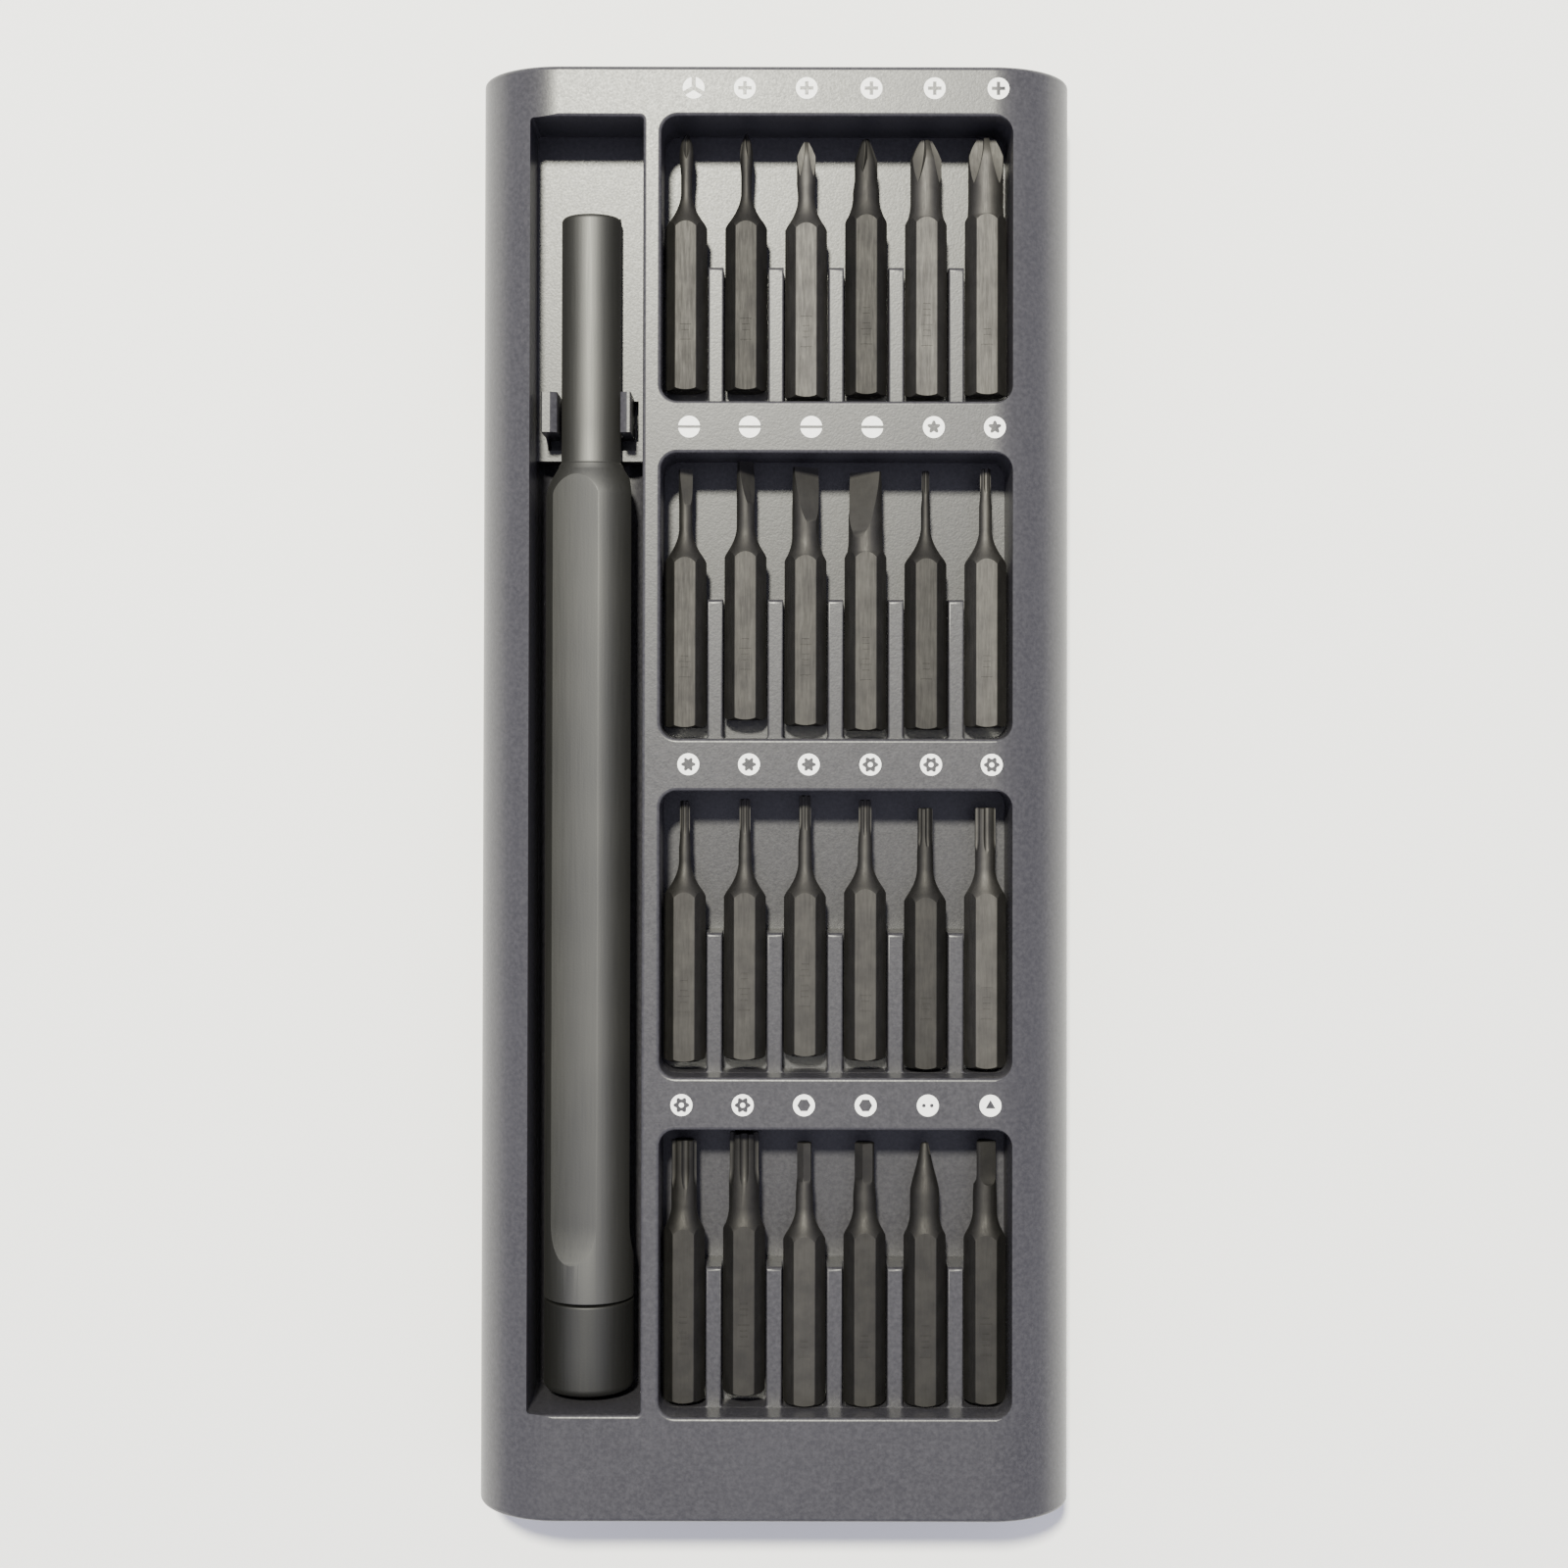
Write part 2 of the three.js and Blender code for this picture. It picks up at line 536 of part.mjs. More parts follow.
// One ground face of a slot tip: it tapers from the shank to a thin straight end.
function bladeCutter(tipR) {
  const half = 0.12 + 0.09 * tipR;
  const start = BIT.length - 2.2 - 2.2 * tipR;
  const clear = BIT.acrossFlats;
  return acrossX([
    [start, tipR + 0.1],
    [BIT.length - 0.8, half + 0.05],
    [BIT.length + 1, half],
    [BIT.length + 1, clear],
    [start, clear],
  ]);
}

// What a tip's shape cuts from the turned bar.
function tipCutters(tip, tipR) {
  const end = BIT.length;
  const start = end - TIP_LENGTH[tip];
  if (tip === "cross") return around(4, () => flute(tipR, 4)).map((s) => s.rotate([0, 45, 0]));
  if (tip === "wings") return around(3, () => flute(tipR, 3));
  if (tip === "slot") return around(2, () => bladeCutter(tipR));
  if (tip === "lobe6" || tip === "lobe5") {
    const lobes = tip === "lobe6" ? 6 : 5;
    const r = (1.35 / lobes) * tipR;
    const groove = () => prismY(8, 2 * r, start + 0.3, end + 1);
    return around(lobes, () => groove().translate([0, 0, tipR * 1.02 + 0.25 * r]));
  }
  if (tip === "fork") return [box(-0.22, 0.22, end - 1.2, end + 1, -3, 3)];
  return [];
}

function bit(tip, tipR, shankR) {
  const bar = prismY(6, hexCorners(BIT.acrossFlats), 0, BIT.length);
  let made = bar.intersect(turned(turnedOutline(tip, tipR, shankR), SIDES.bit));
  if (tip === "hex" || tip === "triangle") {
    const sides = tip === "hex" ? 6 : 3;
    const neck = BIT.length - TIP_LENGTH[tip];
    const across = tip === "hex" ? 2 * tipR : 4 * tipR * 0.62;
    const rest = prismY(6, 2 * hexCorners(BIT.acrossFlats), -1, neck);
    made = made.intersect(rest.add(prismY(sides, across, neck - 0.2, BIT.length + 1)));
  }
  return cut(made, tipCutters(tip, tipR));
}

// ---- Assembly -----------------------------------------------------------------------------------
function part(name, made, material) {
  const mesh = new THREE.Mesh(geometryOf(made), material);
  mesh.name = name;
  return mesh;
}

const tray = new THREE.Group();
tray.add(part("tray_shell", trayShell(), MATERIALS.plastic));
tray.add(part("base_shell", baseShell(), MATERIALS.plastic));
for (let row = 0; row < ROWS; row++) {
  tray.add(part(`magnet_bar_${row + 1}`, magnetBar(row), MATERIALS.magnet));
}
screwPlaces().forEach((place, i) => {
  tray.add(part(`base_screw_${i + 1}`, baseScrew(place), MATERIALS.screw));
});

const driver = new THREE.Group();
driver.position.set(CHANNEL.centreX, 0, HANDLE.axisZ);
driver.add(part("handle_barrel", handleBarrel(), MATERIALS.anodised));
driver.add(part("bit_socket", bitSocket(), MATERIALS.bright));
driver.add(part("socket_magnet", socketMagnet(), MATERIALS.magnet));
driver.add(part("bearing_outer_race", race(BEARING.outerInnerR, BEARING.outerR), MATERIALS.bright));
driver.add(part("bearing_inner_race", race(BEARING.boreR, BEARING.innerR), MATERIALS.bright));
driver.add(part("bearing_ball_ring", ballRing(), MATERIALS.bright));
driver.add(part("swivel_cap", swivelCap(), MATERIALS.anodised));
driver.add(part("cap_pin", capPin(), MATERIALS.bright));

const bits = new THREE.Group();
BITS.forEach(([name, tip, tipR, shankR, offset], i) => {
  const mesh = part(name, bit(tip, tipR, shankR), MATERIALS.steel);
  const row = Math.floor(i / BITS_IN_ROW);
  mesh.position.set(bitX(i % BITS_IN_ROW), pocketEdges(row).low + offset, bitAxisZ);
  bits.add(mesh);
});

const set = new THREE.Group();
set.add(tray, driver, bits);

export default set;
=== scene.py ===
import bpy
import bmesh
import math
from mathutils import Matrix, Vector


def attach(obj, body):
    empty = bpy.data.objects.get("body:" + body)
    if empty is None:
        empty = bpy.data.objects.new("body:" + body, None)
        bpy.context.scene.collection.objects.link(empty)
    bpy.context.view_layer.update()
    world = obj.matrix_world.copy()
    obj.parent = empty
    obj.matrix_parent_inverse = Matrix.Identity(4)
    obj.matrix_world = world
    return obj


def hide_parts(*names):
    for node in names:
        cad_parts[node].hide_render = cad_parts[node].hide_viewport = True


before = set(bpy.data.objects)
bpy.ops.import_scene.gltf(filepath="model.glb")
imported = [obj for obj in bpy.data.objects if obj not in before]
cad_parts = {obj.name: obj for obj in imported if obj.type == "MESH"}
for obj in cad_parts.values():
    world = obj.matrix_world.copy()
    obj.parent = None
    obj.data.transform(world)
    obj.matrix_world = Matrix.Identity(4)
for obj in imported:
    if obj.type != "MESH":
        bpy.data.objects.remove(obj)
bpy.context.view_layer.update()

# Lengths are in millimetres until a piece is finished, and are then turned into metres.
TO_METRES = 0.001

# ---- The tray ----
LENGTH, WIDTH, HEIGHT = 156.0, 64.6, 18.0
PARTING_HIGH, PARTING_LOW = 6.65, 6.35
ROWS, COLUMNS = 4, 6
POCKET_X, POCKET_WIDTH, POCKET_LENGTH = 6.56, 37.8, 30.65
POCKET_TOP, POCKET_PITCH, POCKET_CORNER = 72.6, 36.27, 1.75
FLOOR_Z, RIB_Z, GROOVE_Z = 8.4, 14.0, 10.7
RIB_LENGTH, COLUMN_PITCH, GROOVE_WIDTH, EDGE = 15.15, 6.56, 4.9, 0.36
CHANNEL_X, CHANNEL_WIDTH, CHANNEL_TOP, CHANNEL_BOTTOM = -20.4, 12.2, 72.5, -66.6
CHANNEL_Z, LEDGE_Z, LEDGE_END, FLOOR_FILLET = 4.5, 8.75, 36.4, 2.2
TUB_WALL, CRADLE_R, CRADLE_END = 1.2, 3.4, 63.4
SADDLE_Y, SADDLE_Z = (20.0, -35.0), 5.0
CLIP_INNER, CLIP_LEAD, CLIP_OUTER = 3.45, 4.2, {-1: 5.15, 1: 4.6}
CLIP_LOW, CLIP_HIGH, CLIP_HOOK, CLIP_TOP = 39.0, 43.4, {-1: 14.05, 1: 14.2}, 14.4
CLIP_WINDOW, CLIP_WINDOW_LOW, CLIP_SLOT = 4.9, 37.6, 0.6
MAGNET_X, MAGNET_Y, MAGNET_ROOF = 16.05, 4.55, 1.0
SCREW_SPREAD, SCREW_END_X, SCREW_END_Y = 12.8, 18.0, -72.4
PILOT_R, PILOT_TOP, SINK_R, SINK_DEPTH, HOLE_R = 0.85, 6.9, 2.0, 1.4, 1.15
CASE_CREASE = 38  # degrees
AXIS_X, AXIS_Z = -20.4, 10.0
BIT_Z = 12.75


# ---- Mesh helpers ----
def add_object(name, verts, faces):
    mesh = bpy.data.meshes.new(name)
    mesh.from_pydata([tuple(v) for v in verts], [], faces)
    mesh.validate()
    bm = bmesh.new()
    bm.from_mesh(mesh)
    bmesh.ops.recalc_face_normals(bm, faces=bm.faces)
    bm.to_mesh(mesh)
    bm.free()
    obj = bpy.data.objects.new(name, mesh)
    bpy.context.scene.collection.objects.link(obj)
    return obj


def loft(name, rings):
    """Rings with the same number of points, joined side to side and closed at both ends."""
    count = len(rings[0])
    verts = [p for ring in rings for p in ring]
    faces = []
    for i in range(len(rings) - 1):
        for j in range(count):
            k = (j + 1) % count
            faces.append((i * count + j, i * count + k, (i + 1) * count + k, (i + 1) * count + j))
    faces.append(tuple(reversed(range(count))))
    faces.append(tuple((len(rings) - 1) * count + j for j in range(count)))
    return add_object(name, verts, faces)


def turned(name, profile, sides=96):
    """A profile of (radius, y) pairs turned about the Y axis; it starts and ends on the axis."""
    verts, rows = [], []
    for r, y in profile:
        if r < 1e-6:
            rows.append([len(verts)])
            verts.append((0.0, y, 0.0))
            continue
        rows.append(list(range(len(verts), len(verts) + sides)))
        for j in range(sides):
            a = 2 * math.pi * (j + 0.5) / sides
            verts.append((r * math.cos(a), y, r * math.sin(a)))
    faces = []
    for a, b in zip(rows, rows[1:]):
        for j in range(sides):
            k = (j + 1) % sides
            quad = [a[j % len(a)], a[k % len(a)], b[k % len(b)], b[j % len(b)]]
            face = list(dict.fromkeys(quad))
            if len(face) > 2:
                faces.append(tuple(face))
    return add_object(name, verts, faces)


def prism_z(name, outline, z0, z1):
    return loft(name, [[(x, y, z0) for x, y in outline], [(x, y, z1) for x, y in outline]])


def prism_y(name, outline, y0, y1):
    return loft(name, [[(x, y0, z) for x, z in outline], [(x, y1, z) for x, z in outline]])


def block(name, x0, x1, y0, y1, z0, z1):
    return prism_z(name, [(x0, y0), (x1, y0), (x1, y1), (x0, y1)], z0, z1)


def rounded(x0, x1, y0, y1, r, steps=8):
    """A rectangle's outline with rounded corners; r is one radius, or four from the low left on."""
    radii = r if isinstance(r, (tuple, list)) else (r, r, r, r)
    corners = ((x0, y0, 1, 1, math.pi), (x1, y0, -1, 1, 1.5 * math.pi),
               (x1, y1, -1, -1, 0.0), (x0, y1, 1, -1, 0.5 * math.pi))
    points = []
    for (cx, cy, sx, sy, start), radius in zip(corners, radii):
        if radius <= 0:
            points.append((cx, cy))
            continue
        for i in range(steps + 1):
            a = start + 0.5 * math.pi * i / steps
            x, y = cx + sx * radius + radius * math.cos(a), cy + sy * radius + radius * math.sin(a)
            points.append((x, y))
    return points


def flared(name, edges, corner, z0, z1, r, sides=(1, 1, 1, 1), above=2.0, steps=5):
    """A rounded-rectangle cutter. The edges that it leaves at z1 are rounded to r on the sides picked."""
    corners = corner if isinstance(corner, tuple) else (corner,) * 4
    # A corner's radius grows only where both of the sides that meet there move out.
    grows = (sides[0] * sides[2], sides[1] * sides[2], sides[1] * sides[3], sides[0] * sides[3])

    def ring(z, out):
        x0, x1, y0, y1 = [edge + way * side * out for edge, way, side in zip(edges, (-1, 1, -1, 1), sides)]
        radii = [c + out * grow if c > 0 else 0 for c, grow in zip(corners, grows)]
        return [(x, y, z) for x, y in rounded(x0, x1, y0, y1, radii)]
    rings = [ring(z0, 0.0), ring(z1 - r, 0.0)]
    for i in range(1, steps + 1):
        a = 0.5 * math.pi * i / steps
        rings.append(ring(z1 - r + r * math.sin(a), r * (1 - math.cos(a))))
    return loft(name, rings + [ring(z1 + above, r)])


def ngon(count, r, turn=0.0):
    angles = [turn + 2 * math.pi * i / count for i in range(count)]
    return [(r * math.cos(a), r * math.sin(a)) for a in angles]


def settle(obj):
    """Makes the modifiers part of the mesh."""
    bpy.context.view_layer.update()
    made = bpy.data.meshes.new_from_object(obj.evaluated_get(bpy.context.evaluated_depsgraph_get()))
    obj.modifiers.clear()
    old = obj.data
    made.name = obj.name
    obj.data = made
    bpy.data.meshes.remove(old)
    return obj


def combine(obj, others, operation="DIFFERENCE"):
    """Joins, cuts or crosses obj with the others, one after the other, and drops them."""
    for other in others:
        modifier = obj.modifiers.new("combine", "BOOLEAN")
        modifier.operation = operation
        modifier.solver = "EXACT"
        modifier.object = other
    settle(obj)
    for other in others:
        mesh = other.data
        bpy.data.objects.remove(other)
        bpy.data.meshes.remove(mesh)
    return obj


def tidy_mesh(obj, distance=0.002):
    bm = bmesh.new()
    bm.from_mesh(obj.data)
    bmesh.ops.remove_doubles(bm, verts=bm.verts, dist=distance)
    bmesh.ops.dissolve_degenerate(bm, edges=bm.edges, dist=distance)
    bmesh.ops.recalc_face_normals(bm, faces=bm.faces)
    bm.to_mesh(obj.data)
    bm.free()
    return obj


def soften(obj, width, angle=32, segments=2):
    """Rounds the sharp edges."""
    modifier = obj.modifiers.new("soften", "BEVEL")
    modifier.width = width
    modifier.segments = segments
    modifier.limit_method = "ANGLE"
    modifier.angle_limit = math.radians(angle)
    modifier.use_clamp_overlap = True
    modifier.miter_outer = "MITER_ARC"
    return settle(obj)


def on_round_side(face):
    """Whether a face is part of the case's half-round sides."""
    flat, r = WIDTH / 2 - HEIGHT / 2, HEIGHT / 2
    sides = [(abs(v.co.x) - flat, v.co.z - r) for v in face.verts]
    return all(x > -0.01 and abs(math.hypot(x, z) - r) < 0.004 for x, z in sides)


def smooth(obj, angle=32, case=False):
    """Smooth shading that keeps edges sharper than the angle. In the case, faces square to an axis stay
    flat, and the round sides keep a crease round everything that is cut into them."""
    bm = bmesh.new()
    bm.from_mesh(obj.data)
    skin = {face for face in bm.faces if case and on_round_side(face)}
    for face in bm.faces:
        face.smooth = not (case and max(abs(v) for v in face.normal) > 0.99999)
    for edge in bm.edges:
        steep = edge.is_manifold and edge.calc_face_angle(0.0) > math.radians(angle)
        leaves = len({face in skin for face in edge.link_faces}) > 1
        edge.smooth = not (steep or leaves)
    bm.to_mesh(obj.data)
    bm.free()
    return obj


def finish_piece(obj, body, material, nodes=()):
    obj.data.transform(Matrix.Scale(TO_METRES, 4))
    obj.data.materials.clear()
    obj.data.materials.append(material)
    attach(obj, body)
    if nodes:
        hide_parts(*nodes)


# ---- Materials ----
class Nodes:
    """A material's node tree, with short ways to add to it."""

    def __init__(self, name):
        self.material = bpy.data.materials.new(name)
        self.material.use_nodes = True
        self.tree = self.material.node_tree
        self.shader = self.tree.nodes["Principled BSDF"]
        self.place = self.add("ShaderNodeTexCoord").outputs["Object"]

    def add(self, kind, **values):
        node = self.tree.nodes.new(kind)
        for key, value in values.items():
            setattr(node, key, value)
        return node

    def link(self, a, b):
        self.tree.links.new(a, b)

    def noise(self, scale, detail=3.0, roughness=0.55, stretch=(1, 1, 1)):
        mapping = self.add("ShaderNodeMapping")
        mapping.inputs["Scale"].default_value = stretch
        self.link(self.place, mapping.inputs["Vector"])
        node = self.add("ShaderNodeTexNoise")
        node.inputs["Scale"].default_value = scale
        node.inputs["Detail"].default_value = detail
        node.inputs["Roughness"].default_value = roughness
        self.link(mapping.outputs["Vector"], node.inputs["Vector"])
        return node.outputs["Fac"]

    def ramp(self, source, low, high, from_low=0.3, from_high=0.7):
        node = self.add("ShaderNodeMapRange")
        node.inputs["From Min"].default_value = from_low
        node.inputs["From Max"].default_value = from_high
        node.inputs["To Min"].default_value = low
        node.inputs["To Max"].default_value = high
        self.link(source, node.inputs["Value"])
        return node.outputs["Result"]

    def mix(self, factor, a, b):
        node = self.add("ShaderNodeMix", data_type="RGBA")
        self.link(factor, node.inputs["Factor"])
        for socket, value in (("A", a), ("B", b)):
            target = [s for s in node.inputs if s.name == socket and s.type == "RGBA"][0]
            if isinstance(value, tuple):
                target.default_value = (*value, 1.0)
            else:
                self.link(value, target)
        return [s for s in node.outputs if s.type == "RGBA"][0]

    def math(self, operation, a, b):
        node = self.add("ShaderNodeMath", operation=operation)
        for i, value in enumerate((a, b)):
            if isinstance(value, (int, float)):
                node.inputs[i].default_value = value
            else:
                self.link(value, node.inputs[i])
        return node.outputs[0]

    def bump(self, height, distance, strength=1.0):
        node = self.add("ShaderNodeBump")
        node.inputs["Distance"].default_value = distance
        node.inputs["Strength"].default_value = strength
        self.link(height, node.inputs["Height"])
        self.link(node.outputs["Normal"], self.shader.inputs["Normal"])

    def set(self, **values):
        for key, value in values.items():
            socket = self.shader.inputs[key.replace("_", " ")]
            if isinstance(value, (int, float)):
                socket.default_value = value
            elif isinstance(value, tuple):
                socket.default_value = (*value, 1.0)
            else:
                self.link(value, socket)


def plastic_material():
    n = Nodes("moulded_plastic")
    grain = n.noise(4200, 2.0, 0.5)
    cloud = n.noise(90, 3.0, 0.5)
    speck = n.noise(2300, 2.0, 0.6)
    base = n.mix(n.ramp(cloud, 0.0, 1.0), (0.0245, 0.0235, 0.0285), (0.029, 0.028, 0.0335))
    base = n.mix(n.ramp(speck, 0.0, 1.0, 0.35, 0.75), base, (0.043, 0.0415, 0.048))
    n.set(Base_Color=base, Roughness=n.ramp(grain, 0.33, 0.40))
    n.shader.inputs["IOR"].default_value = 1.46
    n.bump(n.math("ADD", grain, n.math("MULTIPLY", speck, 0.6)), 0.00002, 0.45)
    return n.material


def print_material():
    n = Nodes("pad_print_white")
    ink = n.noise(2600, 3.0, 0.6)
    base = n.mix(n.ramp(ink, 0.0, 1.0, 0.3, 0.75), (0.95, 0.95, 0.95), (0.88, 0.88, 0.88))
    n.set(Base_Color=base, Roughness=n.ramp(ink, 0.45, 0.6))
    n.bump(ink, 0.00001, 0.4)
    return n.material


def grip_material(name, dark):
    n = Nodes(name)
    drawn = n.noise(900, 4.0, 0.6, (6.0, 0.15, 6.0))
    cloud = n.noise(60, 2.0, 0.5)
    fine = n.noise(5200, 2.0, 0.5)
    low = tuple(dark * v for v in (0.92, 0.92, 0.93))
    high = tuple(dark * v for v in (1.12, 1.11, 1.08))
    base = n.mix(n.ramp(cloud, 0.0, 1.0), low, high)
    base = n.mix(n.ramp(drawn, 0.0, 0.15), base, tuple(dark * v for v in (1.3, 1.28, 1.24)))
    n.set(Base_Color=base, Metallic=0.9, Roughness=n.ramp(drawn, 0.52, 0.58))
    n.bump(n.math("ADD", fine, drawn), 0.00001, 0.5)
    return n.material


def steel_material(name, tone, rough, stretch, metallic=1.0):
    n = Nodes(name)
    ground = n.noise(1500, 4.0, 0.65, stretch)
    cloud = n.noise(420, 3.0, 0.6)
    low = tuple(tone * v for v in (0.90, 0.86, 0.85))
    high = tuple(tone * v for v in (1.14, 1.09, 1.05))
    base = n.mix(n.ramp(cloud, 0.0, 1.0, 0.35, 0.65), low, high)
    n.set(Base_Color=base, Metallic=metallic, Roughness=n.ramp(ground, rough - 0.05, rough + 0.08))
    n.bump(ground, 0.000012, 0.5)
    return n.material


PLASTIC = plastic_material()
PRINT = print_material()
GRIP = grip_material("anodised_grip", 0.087)
CAP_GRIP = grip_material("anodised_cap", 0.05)
BRIGHT = steel_material("bright_steel", 0.55, 0.24, (1, 1, 1))
MAGNET = steel_material("plated_magnet", 0.42, 0.35, (1, 1, 1))
SCREW = steel_material("black_zinc_screw", 0.10, 0.36, (1, 1, 1))


# ---- Tray ----
def case_section(inset, low, high, steps=96):
    """The case's cross-section between two heights, inset from the outer skin; (x, z) pairs."""
    r = HEIGHT / 2 - inset
    middle = HEIGHT / 2
    flat = WIDTH / 2 - HEIGHT / 2
    a0 = math.asin(max(-1.0, min(1.0, (low - middle) / r)))
    a1 = math.asin(max(-1.0, min(1.0, (high - middle) / r)))
    angles = [a0 + (a1 - a0) * i / steps for i in range(steps + 1)]
    right = [(flat + r * math.cos(a), middle + r * math.sin(a)) for a in angles]
    return right + [(-x, z) for x, z in reversed(right)]


def case_half(name, low, high, edge=0.45):
    """Half of the case, with its end faces' edges rounded."""
    angles = [0.5 * math.pi * i / 4 for i in range(5)]
    stations = [(edge * (1 - math.sin(a)), -LENGTH / 2 + edge * (1 - math.cos(a))) for a in angles]
    stations += [(inset, -y) for inset, y in reversed(stations)]
    return loft(name, [[(x, y, z) for x, z in case_section(inset, low, high)] for inset, y in stations])


def pocket_edges(row):
    high = POCKET_TOP - row * POCKET_PITCH
    low = high - POCKET_LENGTH
    return POCKET_X - POCKET_WIDTH / 2, POCKET_X + POCKET_WIDTH / 2, low, high, low + RIB_LENGTH


def column_x(column):
    return POCKET_X + (column - (COLUMNS - 1) / 2) * COLUMN_PITCH


def pocket_cutter(row):
    left, right, low, high, step = pocket_edges(row)
    r = POCKET_CORNER
    cutter = flared("pocket", (left, right, low, high), r, RIB_Z, HEIGHT, EDGE)
    edges = (left, right, step, high)
    parts = [flared("recess", edges, (0, 0, r, r), FLOOR_Z, RIB_Z, 0.45, (0, 0, 1, 0), 0.5)]
    for column in range(COLUMNS):
        x = column_x(column)
        x0 = left if column == 0 else x - GROOVE_WIDTH / 2
        x1 = right if column == COLUMNS - 1 else x + GROOVE_WIDTH / 2
        corners = (r if column == 0 else 0.3, r if column == COLUMNS - 1 else 0.3, 0, 0)
        inner = (0 if column == 0 else 1, 0 if column == COLUMNS - 1 else 1, 0, 0)
        edges = (x0, x1, low + 0.01, step + 1)
        parts.append(flared("groove", edges, corners, GROOVE_Z, RIB_Z, 0.2, inner, 0.5, 3))
    return combine(cutter, parts, "UNION")


def channel_cutter():
    left, right = CHANNEL_X - CHANNEL_WIDTH / 2, CHANNEL_X + CHANNEL_WIDTH / 2
    whole = flared("channel", (left, right, CHANNEL_BOTTOM, CHANNEL_TOP), 0.4, LEDGE_Z, HEIGHT, EDGE)
    # The deep run's floor curves up into its side walls.
    deep_rings = []
    for i in range(7):
        a = 0.5 * math.pi * i / 6
        inset = FLOOR_FILLET * (1 - math.sin(a))
        outline = rounded(left + inset, right - inset, CHANNEL_BOTTOM, LEDGE_END, (0.4, 0.4, 0, 0))
        deep_rings.append([(x, y, CHANNEL_Z + FLOOR_FILLET * (1 - math.cos(a))) for x, y in outline])
    deep_rings.append([(x, y, LEDGE_Z + 1) for x, y, z in deep_rings[-1]])
    deep = loft("deep", deep_rings)
    circle = [(AXIS_X + u, AXIS_Z + v) for u, v in ngon(64, CRADLE_R)]
    cradle = prism_y("cradle", circle, LEDGE_END - 1, CRADLE_END)
    return combine(whole, [deep, cradle], "UNION")


def screw_places():
    places = []
    for row in (0, 2):
        left, right, low, high, step = pocket_edges(row)
        places += [(POCKET_X + side * SCREW_SPREAD, (high + step) / 2) for side in (-1, 1)]
    return places + [(-SCREW_END_X, SCREW_END_Y), (SCREW_END_X, SCREW_END_Y)]


def channel_tubs(gap=0.0):
    """The parts of the channel's walls that hang below the parting line."""
    wall = TUB_WALL + gap
    x0, x1 = CHANNEL_X - CHANNEL_WIDTH / 2 - wall, CHANNEL_X + CHANNEL_WIDTH / 2 + wall
    deep = block("tub", x0, x1, CHANNEL_BOTTOM - wall, LEDGE_END + wall, CHANNEL_Z - wall, 8.0)
    ledge = block("tub", x0, x1, LEDGE_END, CHANNEL_TOP + wall, AXIS_Z - CRADLE_R - wall, 8.0)
    return combine(deep, [ledge], "UNION")


def tray_upper():
    tray = case_half("tray_upper", PARTING_HIGH, HEIGHT)
    combine(tray, [channel_tubs()], "UNION")
    cutters = [pocket_cutter(row) for row in range(ROWS)] + [channel_cutter()]
    x = CHANNEL_X
    window = (x - CLIP_WINDOW, x + CLIP_WINDOW, CLIP_WINDOW_LOW, CLIP_LOW + 0.1)
    cutters.append(block("window", *window, 5.0, LEDGE_Z + 1))
    slot_x = x + CLIP_OUTER[1] - 0.05
    slot = (slot_x, slot_x + CLIP_SLOT, CLIP_LOW - 0.4, CLIP_HIGH - 0.3)
    cutters.append(block("slot", *slot, 5.0, LEDGE_Z + 1))
    for row in range(ROWS):
        left, right, low, high, step = pocket_edges(row)
        y = (low + step) / 2
        seat = (POCKET_X - MAGNET_X, POCKET_X + MAGNET_X, y - MAGNET_Y, y + MAGNET_Y)
        cutters.append(block("seat", *seat, 0, GROOVE_Z - MAGNET_ROOF))
    for px, py in screw_places():
        cutters.append(prism_z("pilot", [(px + a, py + b) for a, b in ngon(24, PILOT_R)], 0, PILOT_TOP))
    for cutter in cutters:
        combine(tray, [cutter])
    arms = []
    for side in (-1, 1):
        outer = CLIP_OUTER[side]
        outline = [(CLIP_INNER, 7.6), (outer, 7.6), (outer, CLIP_TOP - 0.12), (outer - 0.12, CLIP_TOP)]
        hook = CLIP_HOOK[side]
        outline += [(CLIP_LEAD, CLIP_TOP), (CLIP_INNER + 0.1, hook), (CLIP_INNER, hook - 0.1)]
        arms.append(prism_y("arm", [(x + side * a, z) for a, z in outline], CLIP_LOW, CLIP_HIGH))
    low = CHANNEL_Z - 0.5
    saddles = [block("saddle", x - 3.0, x + 3.0, y - 1.0, y + 1.0, low, SADDLE_Z) for y in SADDLE_Y]
    combine(tray, arms + saddles, "UNION")
    tidy_mesh(tray)
    return smooth(tray, CASE_CREASE, case=True)


def tray_lower():
    lower = case_half("tray_lower", 0.0, PARTING_LOW)
    outline = rounded(-WIDTH / 2 + 2.2, WIDTH / 2 - 2.2, -LENGTH / 2 + 1.6, LENGTH / 2 - 1.6, 1.0)
    lip = prism_z("lip", outline, PARTING_LOW - 0.5, PARTING_HIGH - 0.03)
    combine(lower, [lip], "UNION")
    cutters = [channel_tubs(0.05)]
    for px, py in screw_places():
        cutters.append(prism_z("sink", [(px + a, py + b) for a, b in ngon(48, SINK_R)], -1, SINK_DEPTH))
        cutters.append(prism_z("hole", [(px + a, py + b) for a, b in ngon(32, HOLE_R)], -1, 8))
    for cutter in cutters:
        combine(lower, [cutter])
    tidy_mesh(lower)
    return smooth(lower, CASE_CREASE, case=True)


finish_piece(tray_upper(), "tray", PLASTIC, ["tray_shell"])
finish_piece(tray_lower(), "tray", PLASTIC, ["base_shell"])


